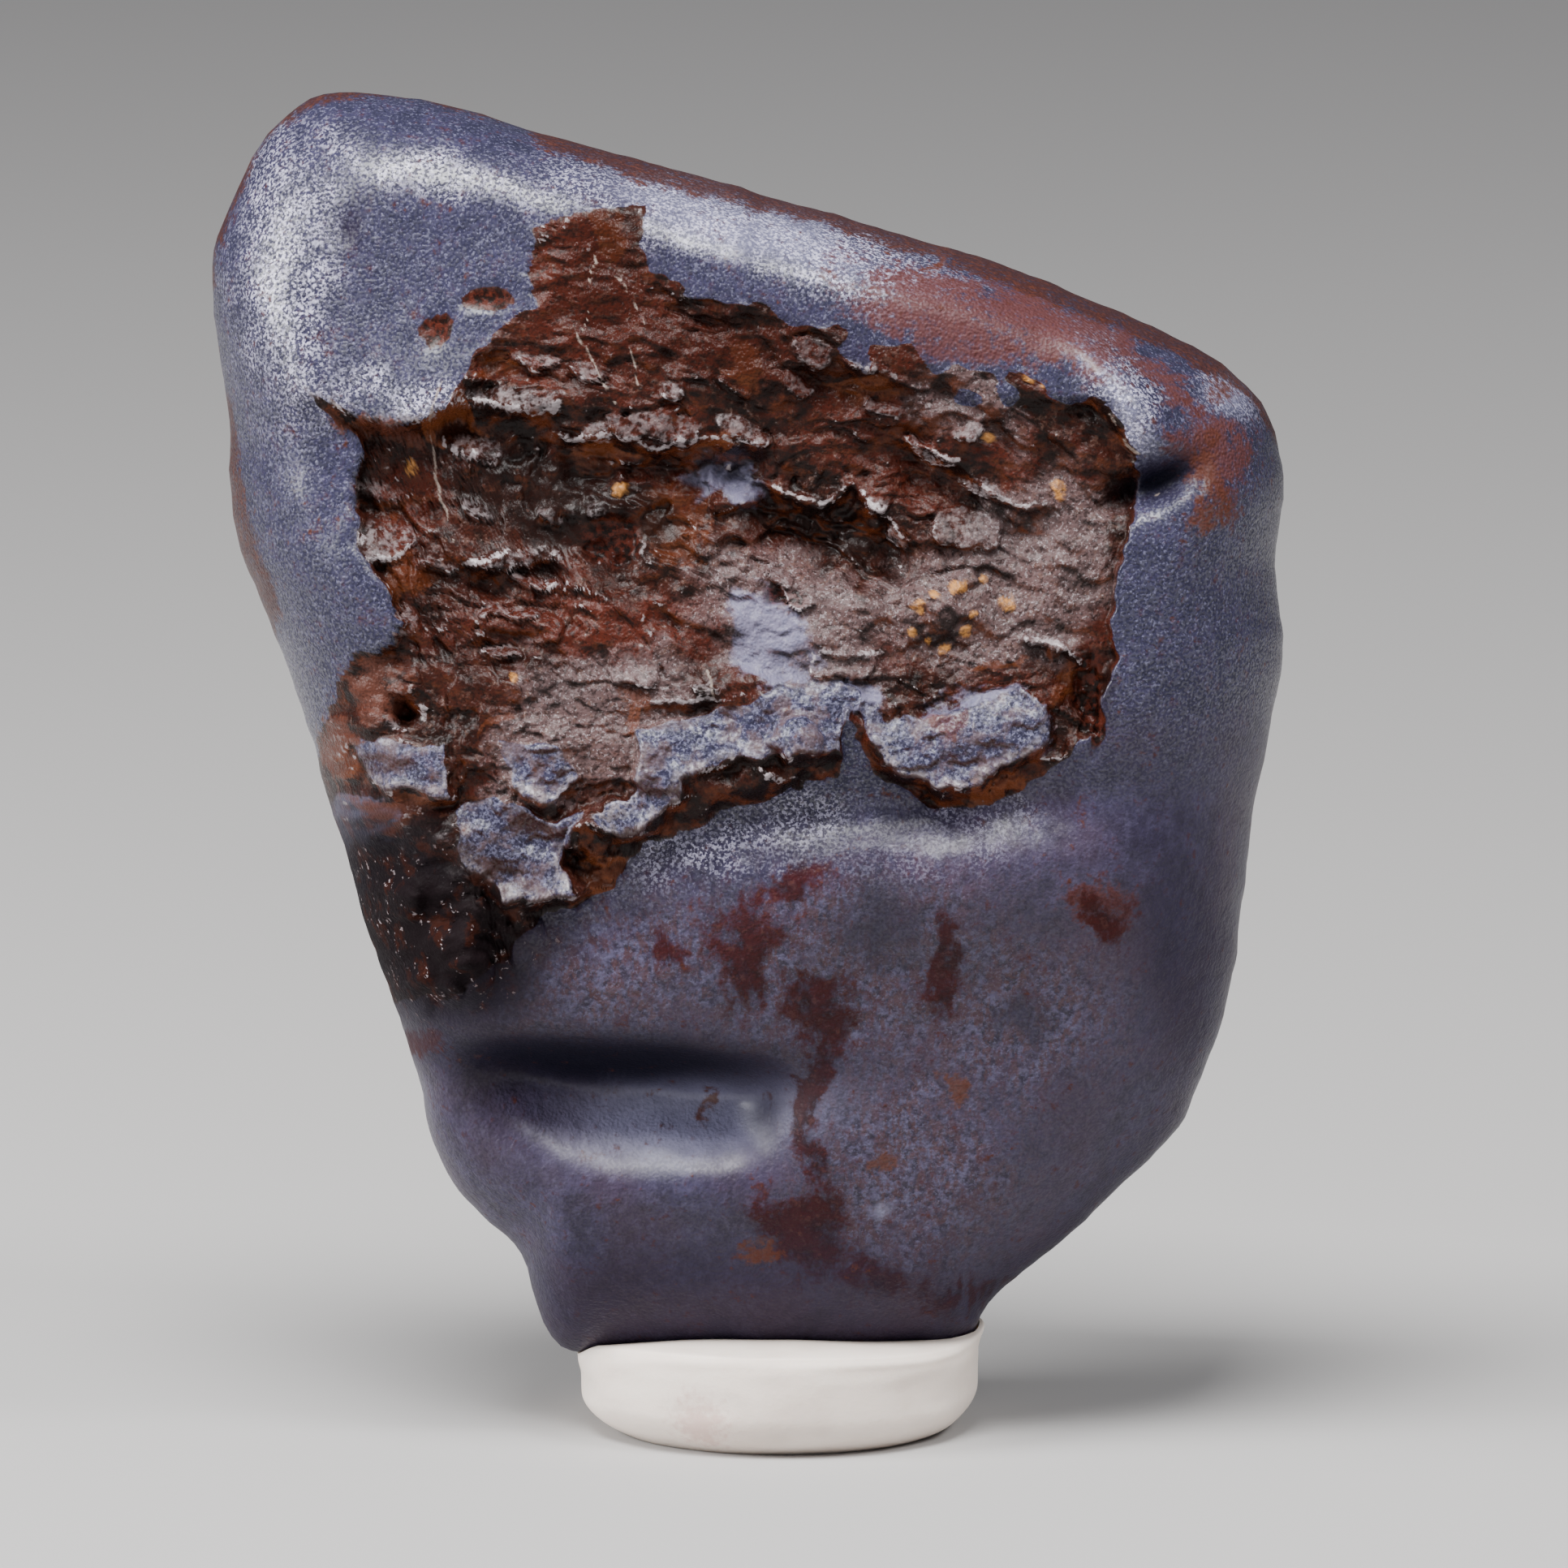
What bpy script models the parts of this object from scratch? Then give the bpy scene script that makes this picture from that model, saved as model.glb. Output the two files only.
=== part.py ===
"""Worn fossil tooth of a horned dinosaur, standing in a small lump of mounting putty.

The tooth is shaped in the plane of the view that shows its big rough face: u runs right, v runs up
and w runs away from the viewer, all in millimetres from the middle of that face. The view looks down
a little, so the finished tooth is turned back by that angle and stands on the putty's flat base.
"""

import math

import bmesh
import bpy
import numpy as np
from mathutils import Matrix, Vector, noise

MM = 0.001

# Driving dimensions, in millimetres and degrees
VIEW_DOWN = 10.0
FLOOR_BELOW_MIDDLE = 10.37
STEP_WIDTH = 0.3
PUTTY_GAP = 0.27
PUTTY_HEIGHT = 1.5
PUTTY_RADII = (2.85, 2.75)
PUTTY_MIDDLE = (0.37, 0.1)

# The putty lump: the share of its ball left below the middle, how square its sides are below and above
# the middle, how far its rim sinks at the left end, sags on the right, turns up at the right corner and
# leans out there, the height on the ball where the lean starts, and its dents
PUTTY_BASE_SHARE = 0.7
PUTTY_SQUARE_BELOW = 0.38
PUTTY_SQUARE_ABOVE = 0.985
PUTTY_LEFT_DROP = 0.24
PUTTY_RIGHT_SAG = 0.15
PUTTY_RIGHT_CORNER = 0.17
PUTTY_FLARE = 0.045
PUTTY_FLARE_FROM = -0.3
PUTTY_DENTS = 0.04
DENT_STEPS = Vector((1.4, 1.4, 0.4))
DENT_START = Vector((0.0, 0.0, 5.0))

# Colours and roughness
ENAMEL_COLOUR = (0.16, 0.17, 0.22)
ENAMEL_ROUGHNESS = 0.35
PUTTY_COLOUR = (0.83, 0.8, 0.74)
PUTTY_ROUGHNESS = 0.7

# How finely the putty's ball is divided, and each side of the cube that the tooth starts from
PUTTY_SEGMENTS = 32
PUTTY_RINGS = 16
CUBE_CUTS = 27

# Where the ball's angle from the front pole passes from face to rounded edge to face, in degrees
FRONT_FACE_END = 96.0
RIM_ANGLE = 112.0
BACK_FACE_START = 128.0

# The silhouette seen from the rough face, clockwise from the highest point of the worn top
OUTLINE = [
    (-6.1, 8.82), (-6.75, 8.4), (-7.17, 7.75), (-7.6, 6.7), (-7.65, 5.9), (-7.45, 4.4), (-7.35, 2.7),
    (-6.9, 1.4), (-6.3, -0.25), (-5.65, -2.5), (-4.85, -4.9), (-4.55, -6.1), (-4.2, -6.8),
    (-3.3, -7.75), (-3.1, -8.4), (-2.85, -8.95), (-2.3, -9.2), (0.3, -9.45), (2.5, -9.25),
    (3.15, -8.95), (3.5, -8.35), (4.85, -7.2), (6.0, -6.05), (6.45, -5.2), (6.9, -3.8), (7.1, -2.0),
    (7.4, -0.2), (7.6, 0.9), (7.5, 2.1), (7.58, 3.4), (7.35, 4.3), (6.8, 4.9), (5.75, 5.5),
    (3.4, 6.45), (0.0, 7.44), (-2.4, 8.09), (-4.0, 8.57), (-5.2, 8.8),
]

# Width of the rounded edge at each direction from the middle: (degrees, front width, back width)
EDGE_WIDTHS = [
    (0, 2.3, 3.0), (30, 1.7, 2.0), (60, 1.1, 1.2), (100, 1.3, 1.2), (126, 1.9, 1.6), (155, 2.3, 2.4),
    (190, 1.7, 2.8), (235, 1.6, 2.2), (270, 1.3, 1.3), (300, 1.8, 2.0), (325, 2.5, 3.0),
]

# Depth from the rim to each face at chosen heights, bottom to top, and the degree of the curve through them
THICKNESS_DEGREE = 4
THICKNESS_AT = (-9.5, -7.0, -3.5, 0.5, 4.5, 8.9)
FRONT_DEPTH = (1.6, 2.3, 3.0, 3.5, 3.2, 1.6)
BACK_DEPTH = (1.7, 2.6, 3.8, 4.0, 3.0, 1.3)

# How far both faces fall away towards the sides, and the silhouette line bows forward at mid-height
FRONT_SIDE_DROP = 0.4
BACK_SIDE_DROP = 0.8
HALF_WIDTH = 7.0
RIM_BOW = 0.3
HALF_HEIGHT = 9.0

# The rough field where the enamel has gone and brown dentine shows
ROUGH_FIELD = [
    (-6.35, 4.55), (-5.3, 4.1), (-4.7, 4.1), (-4.2, 4.4), (-3.9, 5.15), (-3.0, 5.75), (-3.05, 6.85),
    (-2.3, 7.15), (-1.5, 7.1), (-1.45, 6.4), (-0.2, 5.85), (0.7, 5.6), (1.55, 5.1), (2.8, 4.95),
    (4.25, 4.3), (4.8, 4.45), (5.2, 4.1), (5.5, 3.4), (5.45, 2.6), (5.1, 1.4), (5.1, 0.4),
    (4.9, -0.2), (4.25, -0.75), (3.9, -1.15), (2.85, -1.35), (1.95, -1.05), (1.4, 0.0), (1.2, -0.8),
    (0.0, -1.3), (-1.45, -1.75), (-2.1, -2.55), (-2.95, -2.85), (-3.35, -3.4), (-3.9, -3.7),
    (-4.4, -4.1), (-5.1, -4.1), (-5.9, -3.0), (-6.2, -1.4), (-6.2, -0.5), (-5.7, 0.4), (-4.75, 1.1),
    (-4.9, 1.8), (-5.6, 3.1), (-5.45, 3.7),
]

# The field lies lower than the enamel and is dished in its middle: middle, half-widths, depth
FIELD_SUNK = 0.2
FIELD_DISH = ((-0.6, 2.7), (3.2, 1.3), 0.6)

# Below the field the smooth surface lies lower still: by how much, and the heights that it eases over
# on a line that slopes by this much across
LOWER_SUNK = 0.25
LOWER_FROM = 0.6
LOWER_FULL = -1.6
LOWER_SLOPE = 0.12
LOWER_PIVOT = 2.0

# Folds across the field's ground: height, size along and across, turn in degrees, seed
FOLDS = [
    (0.2, (1.5, 0.7), -12, 3.0),
    (0.1, (0.7, 0.45), -12, 7.0),
]
ROOT_WAVES = (0.1, (2.6, 2.6), 0, 11.0)
BACK_WAVES = (0.08, (1.6, 1.6), 0, 23.0)

# Plates of enamel left standing in the field: outline, height of the upper edge and of the lower one
PLATES = [
    ([(-5.6, -0.45), (-4.3, -0.4), (-4.25, -1.2), (-5.2, -1.25)], 0.05, 0.4),
    ([(-4.1, -1.3), (-2.7, -1.4), (-2.3, -2.2), (-3.0, -2.75), (-3.9, -2.3)], 0.1, 0.5),
    ([(-1.6, 0.1), (0.6, 0.9), (1.35, 0.0), (0.9, -0.65), (-0.3, -0.75), (-1.0, -1.25), (-2.0, -1.0)],
     0.1, 0.45),
    ([(2.1, 0.2), (4.3, 0.35), (4.2, -0.5), (3.5, -0.95), (2.2, -1.05), (1.9, -0.5)], 0.1, 0.45),
]

# Long ledges across the field: line from left to right, drop below it, width that the drop fades over
LEDGES = [
    ([(-6.4, 4.55), (-5.4, 4.15), (-4.7, 4.05), (-3.3, 4.3), (-2.6, 4.3)], 0.35, 1.0),
    ([(-3.2, 3.95), (-1.4, 3.75), (-0.2, 3.9), (0.4, 3.8)], 0.3, 0.8),
    ([(0.1, 3.1), (0.7, 2.95), (1.4, 3.1), (2.2, 2.6), (2.7, 2.1)], 0.45, 0.9),
    ([(2.1, 3.9), (2.9, 3.5), (3.4, 3.0), (4.2, 2.9)], 0.25, 0.7),
    ([(-4.6, 2.1), (-3.4, 2.2), (-2.5, 2.1), (-1.7, 1.8)], 0.2, 0.6),
]
LEDGE_TAPER = 0.25
LEDGE_FADE_FROM = 0.3
LEDGE_FADE_TO = 2.2

# The dark hollow low on the left: the line of its brow from left to right, its depth, how far below the
# brow it is deepest, how long it climbs back, the share of the reach where the climb starts, and the
# length that it eases in and out over at its ends
HOLLOW_BROW = [(-4.1, -4.35), (-3.4, -4.35), (-2.2, -4.5), (-1.0, -4.65), (0.4, -4.7)]
HOLLOW_DEPTH = 1.2
HOLLOW_REACH = 0.85
HOLLOW_CLIMB = 1.9
HOLLOW_CLIMB_SHARE = 0.6
HOLLOW_TAPER = 0.8

# Soft hills and hollows of the front face: middle, half-widths, turn in degrees, height
FRONT_SWELLINGS = [
    # a shallow dish inside the blunt corner's rolled edge, and the ridge along the worn top
    ((-4.6, 5.9), (1.5, 1.3), 0, -0.35),
    ((-0.6, 6.9), (2.6, 0.5), -16, 0.12),
    # the ridge and the dark notch by the right corner
    ((5.15, 4.65), (0.9, 0.24), -52, 0.45),
    ((5.75, 3.25), (0.5, 0.2), 28, -0.5),
    # the smooth shoulder and the groove over it under the plates, and the dent in the shoulder
    ((2.6, -2.6), (2.3, 0.85), 4, 0.6),
    ((2.4, -1.35), (2.2, 0.35), 4, -0.3),
    ((1.85, -2.9), (0.35, 0.6), 0, -0.25),
    # the brow over the dark hollow and the lip below it
    ((-1.9, -3.9), (1.8, 0.6), -3, 0.25),
    ((-0.8, -6.6), (1.4, 0.6), 4, 0.15),
]

# The enamelled back: one strong keel up its middle, faint ridges beside it, and the heights between
# which they fade out towards the root
KEEL_HEIGHT = 1.5
KEEL_HALF_WIDTH = 0.75
KEEL_AT = 0.3
KEEL_LEAN = 0.05
SIDE_RIDGES = 0.12
SIDE_RIDGES_EVERY = 1.55
SIDE_RIDGES_FROM = (1.4, 2.4)
RIDGES_FADE = (-8.0, -1.0)

# The back's swollen crown base and the neck below it: middle, half-widths, turn in degrees, height
BACK_SWELLINGS = [
    ((0.4, -3.6), (4.5, 0.8), 0, 0.45),
    ((0.4, -7.2), (2.5, 1.0), 0, -0.3),
]


def smooth_step(low, high, x):
    """0 below low, 1 above high and an even S between them."""
    t = np.clip((x - low) / (high - low), 0.0, 1.0)
    return t * t * (3.0 - 2.0 * t)


def swelling(u, v, middle, size, turn=0.0):
    """A smooth hill of height 1 round middle, as wide as size, turned by degrees."""
    c, s = math.cos(math.radians(turn)), math.sin(math.radians(turn))
    along = ((u - middle[0]) * c + (v - middle[1]) * s) / size[0]
    across = ((v - middle[1]) * c - (u - middle[0]) * s) / size[1]
    return np.exp(-0.5 * (along**2 + across**2))


def closed_curve(points, steps=16):
    """Points of a smooth closed curve through the given ones."""
    p = np.array(points)
    before, after, beyond = np.roll(p, 1, 0), np.roll(p, -1, 0), np.roll(p, -2, 0)
    t = np.linspace(0.0, 1.0, steps, endpoint=False)[None, :, None]
    a, b, c, d = (q[:, None, :] for q in (before, p, after, beyond))
    curve = 0.5 * (2 * b + (c - a) * t + (2 * a - 5 * b + 4 * c - d) * t**2 + (3 * b - a - 3 * c + d) * t**3)
    return curve.reshape(-1, 2)


def rim_distance(angle):
    """How far the silhouette lies from the middle in each direction, in radians."""
    curve = closed_curve(OUTLINE)
    turns = np.arctan2(curve[:, 1], curve[:, 0])
    order = np.argsort(turns)
    return np.interp(angle, turns[order], np.hypot(*curve[order].T), period=math.tau)


def edge_width(angle, column):
    """Width of the rounded edge in each direction, eased from stop to stop."""
    stops = np.array(EDGE_WIDTHS, float)
    widths = np.append(stops[:, column], stops[0, column])
    degrees = np.append(stops[:, 0], 360.0)
    where = np.degrees(angle) % 360.0
    i = np.clip(np.searchsorted(degrees, where, side="right") - 1, 0, len(stops) - 1)
    share = smooth_step(0.0, 1.0, (where - degrees[i]) / (degrees[i + 1] - degrees[i]))
    return widths[i] * (1 - share) + widths[i + 1] * share


def inside_depth(u, v, points):
    """Distance to a closed outline, positive inside it."""
    starts = np.array(points)
    nearest = np.full(u.shape, 1e9)
    inside = np.zeros(u.shape, bool)
    for (au, av), (bu, bv) in zip(starts, np.roll(starts, -1, 0)):
        du, dv = bu - au, bv - av
        t = np.clip(((u - au) * du + (v - av) * dv) / (du * du + dv * dv), 0.0, 1.0)
        nearest = np.minimum(nearest, np.hypot(u - au - t * du, v - av - t * dv))
        crosses = (av > v) != (bv > v)
        side = au + (v - av) * du / np.where(dv == 0, 1e-9, dv)
        inside ^= crosses & (u < side)
    return np.where(inside, nearest, -nearest)


def ripple(u, v, height, size, turn, seed):
    """Smooth unevenness of about this height, with features of this (along, across) size."""
    c, s = math.cos(math.radians(turn)), math.sin(math.radians(turn))
    along = (u * c + v * s) / size[0]
    across = (v * c - u * s) / size[1]
    return height * np.array([noise.noise(Vector((a, b, seed))) for a, b in zip(along, across)])


def between_ends(u, line, taper):
    """1 between the ends of a line that runs from left to right, easing to 0 over the taper."""
    start, end = line[0, 0], line[-1, 0]
    return smooth_step(start - taper, start + taper, u) * smooth_step(end + taper, end - taper, u)


def ledge(u, v, points, drop, fade):
    """The ground falls sharply below the line, then climbs back over the fade width."""
    line = np.array(points)
    below = np.interp(u, line[:, 0], line[:, 1]) - v
    climb = smooth_step(LEDGE_FADE_TO * fade, LEDGE_FADE_FROM * fade, below)
    return -drop * between_ends(u, line, LEDGE_TAPER) * smooth_step(0.0, STEP_WIDTH, below) * climb


def hollow(u, v):
    """A smooth hollow under its brow: it falls steeply below the line and climbs back slowly."""
    line = np.array(HOLLOW_BROW)
    below = np.interp(u, line[:, 0], line[:, 1]) - v
    fall = smooth_step(0.0, HOLLOW_REACH, below)
    climb = smooth_step(HOLLOW_REACH + HOLLOW_CLIMB, HOLLOW_CLIMB_SHARE * HOLLOW_REACH, below)
    return -HOLLOW_DEPTH * between_ends(u, line, HOLLOW_TAPER) * fall * climb


def front_relief(u, v):
    """Height of the rough face's forms above the plain rounded body."""
    height = hollow(u, v) - FRONT_SIDE_DROP * (u / HALF_WIDTH) ** 2
    for middle, size, turn, rise in FRONT_SWELLINGS:
        height += rise * swelling(u, v, middle, size, turn)
    # the field is sunk, deepest in the middle, and the smooth surface below it lies lower still
    sunk = smooth_step(-STEP_WIDTH, STEP_WIDTH, inside_depth(u, v, ROUGH_FIELD))
    lower = smooth_step(LOWER_FROM, LOWER_FULL, v + LOWER_SLOPE * (u - LOWER_PIVOT))
    dish_middle, dish_size, dish_depth = FIELD_DISH
    height -= LOWER_SUNK * lower * (1 - sunk)
    height -= sunk * (FIELD_SUNK * (1 - lower) + dish_depth * swelling(u, v, dish_middle, dish_size))
    # its ground is crumpled, in folds that run across and slope a little down to the right
    for fold in FOLDS:
        height += sunk * ripple(u, v, *fold)
    for points, drop, fade in LEDGES:
        height += ledge(u, v, points, drop, fade)
    for points, upper_edge, lower_edge in PLATES:
        heights = np.array(points)[:, 1]
        down = np.clip((heights.max() - v) / (heights.max() - heights.min()), 0, 1)
        standing = smooth_step(0.0, STEP_WIDTH, inside_depth(u, v, points))
        height += standing * (upper_edge + (lower_edge - upper_edge) * down)
    height += ripple(u, v, *ROOT_WAVES) * lower
    return height


def back_relief(u, v):
    """Height of the enamelled face's forms: one strong keel, faint side ridges and a swollen crown base."""
    across = u - (KEEL_AT - KEEL_LEAN * v)
    crown = smooth_step(*RIDGES_FADE, v)
    height = KEEL_HEIGHT * np.exp(-0.5 * (across / KEEL_HALF_WIDTH) ** 2) * crown
    beside = smooth_step(*SIDE_RIDGES_FROM, np.abs(across))
    height += SIDE_RIDGES * np.cos(across * math.tau / SIDE_RIDGES_EVERY) * beside * crown
    height -= BACK_SIDE_DROP * (across / HALF_WIDTH) ** 2
    for middle, size, turn, rise in BACK_SWELLINGS:
        height += rise * swelling(u, v, middle, size, turn)
    height += ripple(u, v, *BACK_WAVES)
    return height


def rim_depth(v):
    """Depth of the silhouette line: it keeps the leaning view's tooth upright, with a slight bow."""
    return -math.tan(math.radians(VIEW_DOWN)) * v - RIM_BOW * (1 - (v / HALF_HEIGHT) ** 2)


def shaped(directions):
    """Moves directions from the middle of a ball, as rows of x, y, z, onto the tooth as rows of u, w, v."""
    angle = np.arctan2(directions[:, 2], directions[:, 0])
    polar = np.degrees(np.arccos(np.clip(-directions[:, 1], -1.0, 1.0)))
    front = polar <= RIM_ANGLE
    face_end = np.where(front, FRONT_FACE_END, 180.0 - BACK_FACE_START)
    from_pole = np.where(front, polar, 180.0 - polar)
    rim_end = np.where(front, RIM_ANGLE, 180.0 - RIM_ANGLE)

    def spread(degrees):
        return 1 - np.cos(np.radians(degrees))

    across_face = np.sqrt(spread(np.minimum(from_pole, face_end)) / spread(face_end))
    bend = np.clip((from_pole - face_end) / (rim_end - face_end), 0, 1) * math.pi / 2
    edge = np.where(front, edge_width(angle, 1), edge_width(angle, 2))
    reach = across_face * (rim_distance(angle) - edge) + edge * np.sin(bend)
    u, v = reach * np.cos(angle), reach * np.sin(angle)
    front_body = np.polynomial.Polynomial.fit(THICKNESS_AT, FRONT_DEPTH, THICKNESS_DEGREE)(v)
    back_body = np.polynomial.Polynomial.fit(THICKNESS_AT, BACK_DEPTH, THICKNESS_DEGREE)(v)
    thick = np.where(front, -front_body - front_relief(u, v), back_body + back_relief(u, v))
    w = rim_depth(v) + np.cos(bend) * thick
    return np.column_stack([u, w, v])


def material(name, colour, roughness):
    made = bpy.data.materials.new(name)
    made.use_nodes = True
    shader = made.node_tree.nodes["Principled BSDF"]
    shader.inputs["Base Color"].default_value = (*colour, 1.0)
    shader.inputs["Roughness"].default_value = roughness
    shader.inputs["Metallic"].default_value = 0.0
    return made


def add_object(name, bm, collection, finish=None):
    mesh = bpy.data.meshes.new(name)
    bm.to_mesh(mesh)
    bm.free()
    obj = bpy.data.objects.new(name, mesh)
    collection.objects.link(obj)
    if finish:
        mesh.materials.append(finish)
    return obj


def tooth_mesh():
    """A cube divided into a ball of even faces, each vertex moved onto the tooth."""
    bm = bmesh.new()
    bmesh.ops.create_cube(bm, size=2.0)
    bmesh.ops.subdivide_edges(bm, edges=bm.edges[:], cuts=CUBE_CUTS, use_grid_fill=True)
    cube = np.array([vert.co for vert in bm.verts])
    ball = np.tan(cube * math.pi / 4)
    ball /= np.linalg.norm(ball, axis=1)[:, None]
    upright = Matrix.Rotation(math.radians(-VIEW_DOWN), 4, "X")
    for vert, place in zip(bm.verts, shaped(ball)):
        vert.co = upright @ Vector(place) * MM
    bmesh.ops.translate(bm, verts=bm.verts[:], vec=(0, 0, FLOOR_BELOW_MIDDLE * MM))
    bmesh.ops.triangulate(bm, faces=bm.faces[:])
    bmesh.ops.recalc_face_normals(bm, faces=bm.faces[:])
    return bm


def make_tooth(collection):
    enamel = material("tooth_enamel", ENAMEL_COLOUR, ENAMEL_ROUGHNESS)
    tooth = add_object("tooth", tooth_mesh(), collection, enamel)
    tooth.data.shade_smooth()
    return tooth


def make_socket_cutter(collection):
    """The tooth grown by the gap on every side, which presses its shape into the putty."""
    bm = tooth_mesh()
    bm.normal_update()
    for vert in bm.verts:
        vert.co += vert.normal * PUTTY_GAP * MM
    cutter = add_object("putty_socket_cutter", bm, collection)
    cutter.hide_render = True
    cutter.display_type = "WIRE"
    return cutter


def make_putty(collection, cutter):
    """A ball cut off flat below and pressed square-shouldered, with a rim that flares on the right."""
    bm = bmesh.new()
    bmesh.ops.create_uvsphere(bm, u_segments=PUTTY_SEGMENTS, v_segments=PUTTY_RINGS, radius=1.0)
    cut = bmesh.ops.bisect_plane(
        bm, geom=bm.verts[:] + bm.edges[:] + bm.faces[:], dist=1e-5,
        plane_co=(0, 0, -PUTTY_BASE_SHARE), plane_no=(0, 0, -1), clear_outer=True,
    )
    rim = [item for item in cut["geom_cut"] if isinstance(item, bmesh.types.BMEdge)]
    bmesh.ops.contextual_create(bm, geom=rim)
    to_height = PUTTY_HEIGHT / (1 + PUTTY_BASE_SHARE)
    for vert in bm.verts:
        x, y, z = vert.co
        ring = math.hypot(x, y)
        power = PUTTY_SQUARE_ABOVE if z > 0 else PUTTY_SQUARE_BELOW
        wide = ring**-power if ring > 1e-6 else 1.0
        wide *= 1 + PUTTY_DENTS * noise.noise(vert.co * DENT_STEPS + DENT_START)
        right, left = max(0.0, wide * x), max(0.0, -wide * x)
        wide *= 1 + PUTTY_FLARE * right**2 * max(0.0, z - PUTTY_FLARE_FROM) ** 2
        rise = (z + PUTTY_BASE_SHARE) * to_height
        rise *= 1 + PUTTY_RIGHT_CORNER * right**8 - PUTTY_RIGHT_SAG * right**2 - PUTTY_LEFT_DROP * left**6
        vert.co = Vector((
            PUTTY_MIDDLE[0] + PUTTY_RADII[0] * wide * x,
            PUTTY_MIDDLE[1] + PUTTY_RADII[1] * wide * y,
            rise,
        )) * MM
    bmesh.ops.recalc_face_normals(bm, faces=bm.faces[:])
    cream = material("white_putty", PUTTY_COLOUR, PUTTY_ROUGHNESS)
    putty = add_object("mounting_putty", bm, collection, cream)
    socket = putty.modifiers.new("socket", "BOOLEAN")
    socket.operation = "DIFFERENCE"
    socket.solver = "EXACT"
    socket.object = cutter
    return putty


def centre_on_base(objects, cutter):
    """Moves everything so that the middle of the part's box, at the floor, is the origin."""
    bpy.context.view_layer.update()
    graph = bpy.context.evaluated_depsgraph_get()
    corners = np.array([
        obj.matrix_world @ vert.co for obj in objects for vert in obj.evaluated_get(graph).data.vertices
    ])
    low, high = corners.min(0), corners.max(0)
    shift = Vector((-(low[0] + high[0]) / 2, -(low[1] + high[1]) / 2, -low[2]))
    for obj in [*objects, cutter]:
        obj.location = shift


def main():
    for obj in list(bpy.data.objects):
        bpy.data.objects.remove(obj)
    parts = bpy.data.collections.new("fossil_tooth")
    cutters = bpy.data.collections.new("cutters")
    for collection in (parts, cutters):
        bpy.context.scene.collection.children.link(collection)
    tooth = make_tooth(parts)
    cutter = make_socket_cutter(cutters)
    putty = make_putty(parts, cutter)
    centre_on_base([tooth, putty], cutter)


main()
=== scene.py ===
import math

import bmesh
import bpy
import numpy as np
from mathutils import Matrix, Vector, noise


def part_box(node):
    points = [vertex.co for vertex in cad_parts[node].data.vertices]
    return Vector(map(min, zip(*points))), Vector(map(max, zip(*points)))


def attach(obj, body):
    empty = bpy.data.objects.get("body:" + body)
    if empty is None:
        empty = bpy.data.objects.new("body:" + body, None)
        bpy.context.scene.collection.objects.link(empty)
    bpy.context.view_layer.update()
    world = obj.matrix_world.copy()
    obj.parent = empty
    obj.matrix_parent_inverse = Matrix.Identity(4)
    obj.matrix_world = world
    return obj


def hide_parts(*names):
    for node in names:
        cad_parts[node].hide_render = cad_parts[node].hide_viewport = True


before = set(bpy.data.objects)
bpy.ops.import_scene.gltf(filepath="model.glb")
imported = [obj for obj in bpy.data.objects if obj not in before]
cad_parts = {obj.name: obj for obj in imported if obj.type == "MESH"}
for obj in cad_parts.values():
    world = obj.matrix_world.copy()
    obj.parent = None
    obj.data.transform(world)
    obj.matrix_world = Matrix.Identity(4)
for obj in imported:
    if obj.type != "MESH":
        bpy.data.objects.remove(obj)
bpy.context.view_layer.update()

mm = 0.001

# the tooth is shaped in the view's own plane: u right, v up, w away, in mm from the rough face's middle
toothForm = {
    "viewDown": 10.0,          # degrees that the view looks down
    "floorBelowMiddle": 10.37,
    "cubeCuts": 42,            # divisions of the starting cube; doubled in front and again in the field
    "frontFaceEnd": 110.0,     # the ball's angles where face turns to rounded edge and to face again
    "rimAngle": 124.0,
    "backFaceStart": 138.0,
    "outline": [  # silhouette, clockwise from the highest point
        (-6.1, 8.82), (-6.75, 8.4), (-7.17, 7.75), (-7.6, 6.7), (-7.65, 5.9), (-7.45, 4.4), (-7.35, 2.7),
        (-6.9, 1.4), (-6.3, -0.25), (-5.65, -2.5), (-4.85, -4.9), (-4.55, -6.1), (-4.2, -6.8),
        (-3.3, -7.75), (-3.1, -8.4), (-2.85, -8.95), (-2.3, -9.2), (0.3, -9.45), (2.5, -9.25),
        (3.15, -8.95), (3.5, -8.35), (4.85, -7.2), (6.0, -6.05), (6.45, -5.2), (6.9, -3.8), (7.1, -2.0),
        (7.4, -0.2), (7.6, 0.9), (7.5, 2.1), (7.58, 3.4), (7.35, 4.3), (6.8, 4.9), (5.75, 5.5),
        (3.4, 6.45), (0.0, 7.44), (-2.4, 8.09), (-4.0, 8.57), (-5.2, 8.8),
    ],
    "edgeWidths": [  # degrees round the rim, rounded edge's width in front and behind
        (0, 2.3, 3.0), (30, 1.7, 2.0), (60, 1.1, 1.2), (100, 1.3, 1.2), (126, 1.9, 1.6), (155, 2.3, 2.4),
        (190, 1.7, 2.8), (235, 1.6, 2.2), (270, 1.3, 1.3), (300, 1.8, 2.0), (325, 2.5, 3.0),
    ],
    "thicknessAt": (-9.5, -7.0, -3.5, 0.5, 4.5, 8.9),
    "frontDepth": (1.6, 2.3, 3.0, 3.5, 3.2, 1.6),
    "backDepth": (1.7, 2.6, 3.8, 4.0, 3.0, 1.3),
    "edgeChips": 0.035,        # how far the silhouette wanders
}

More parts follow.
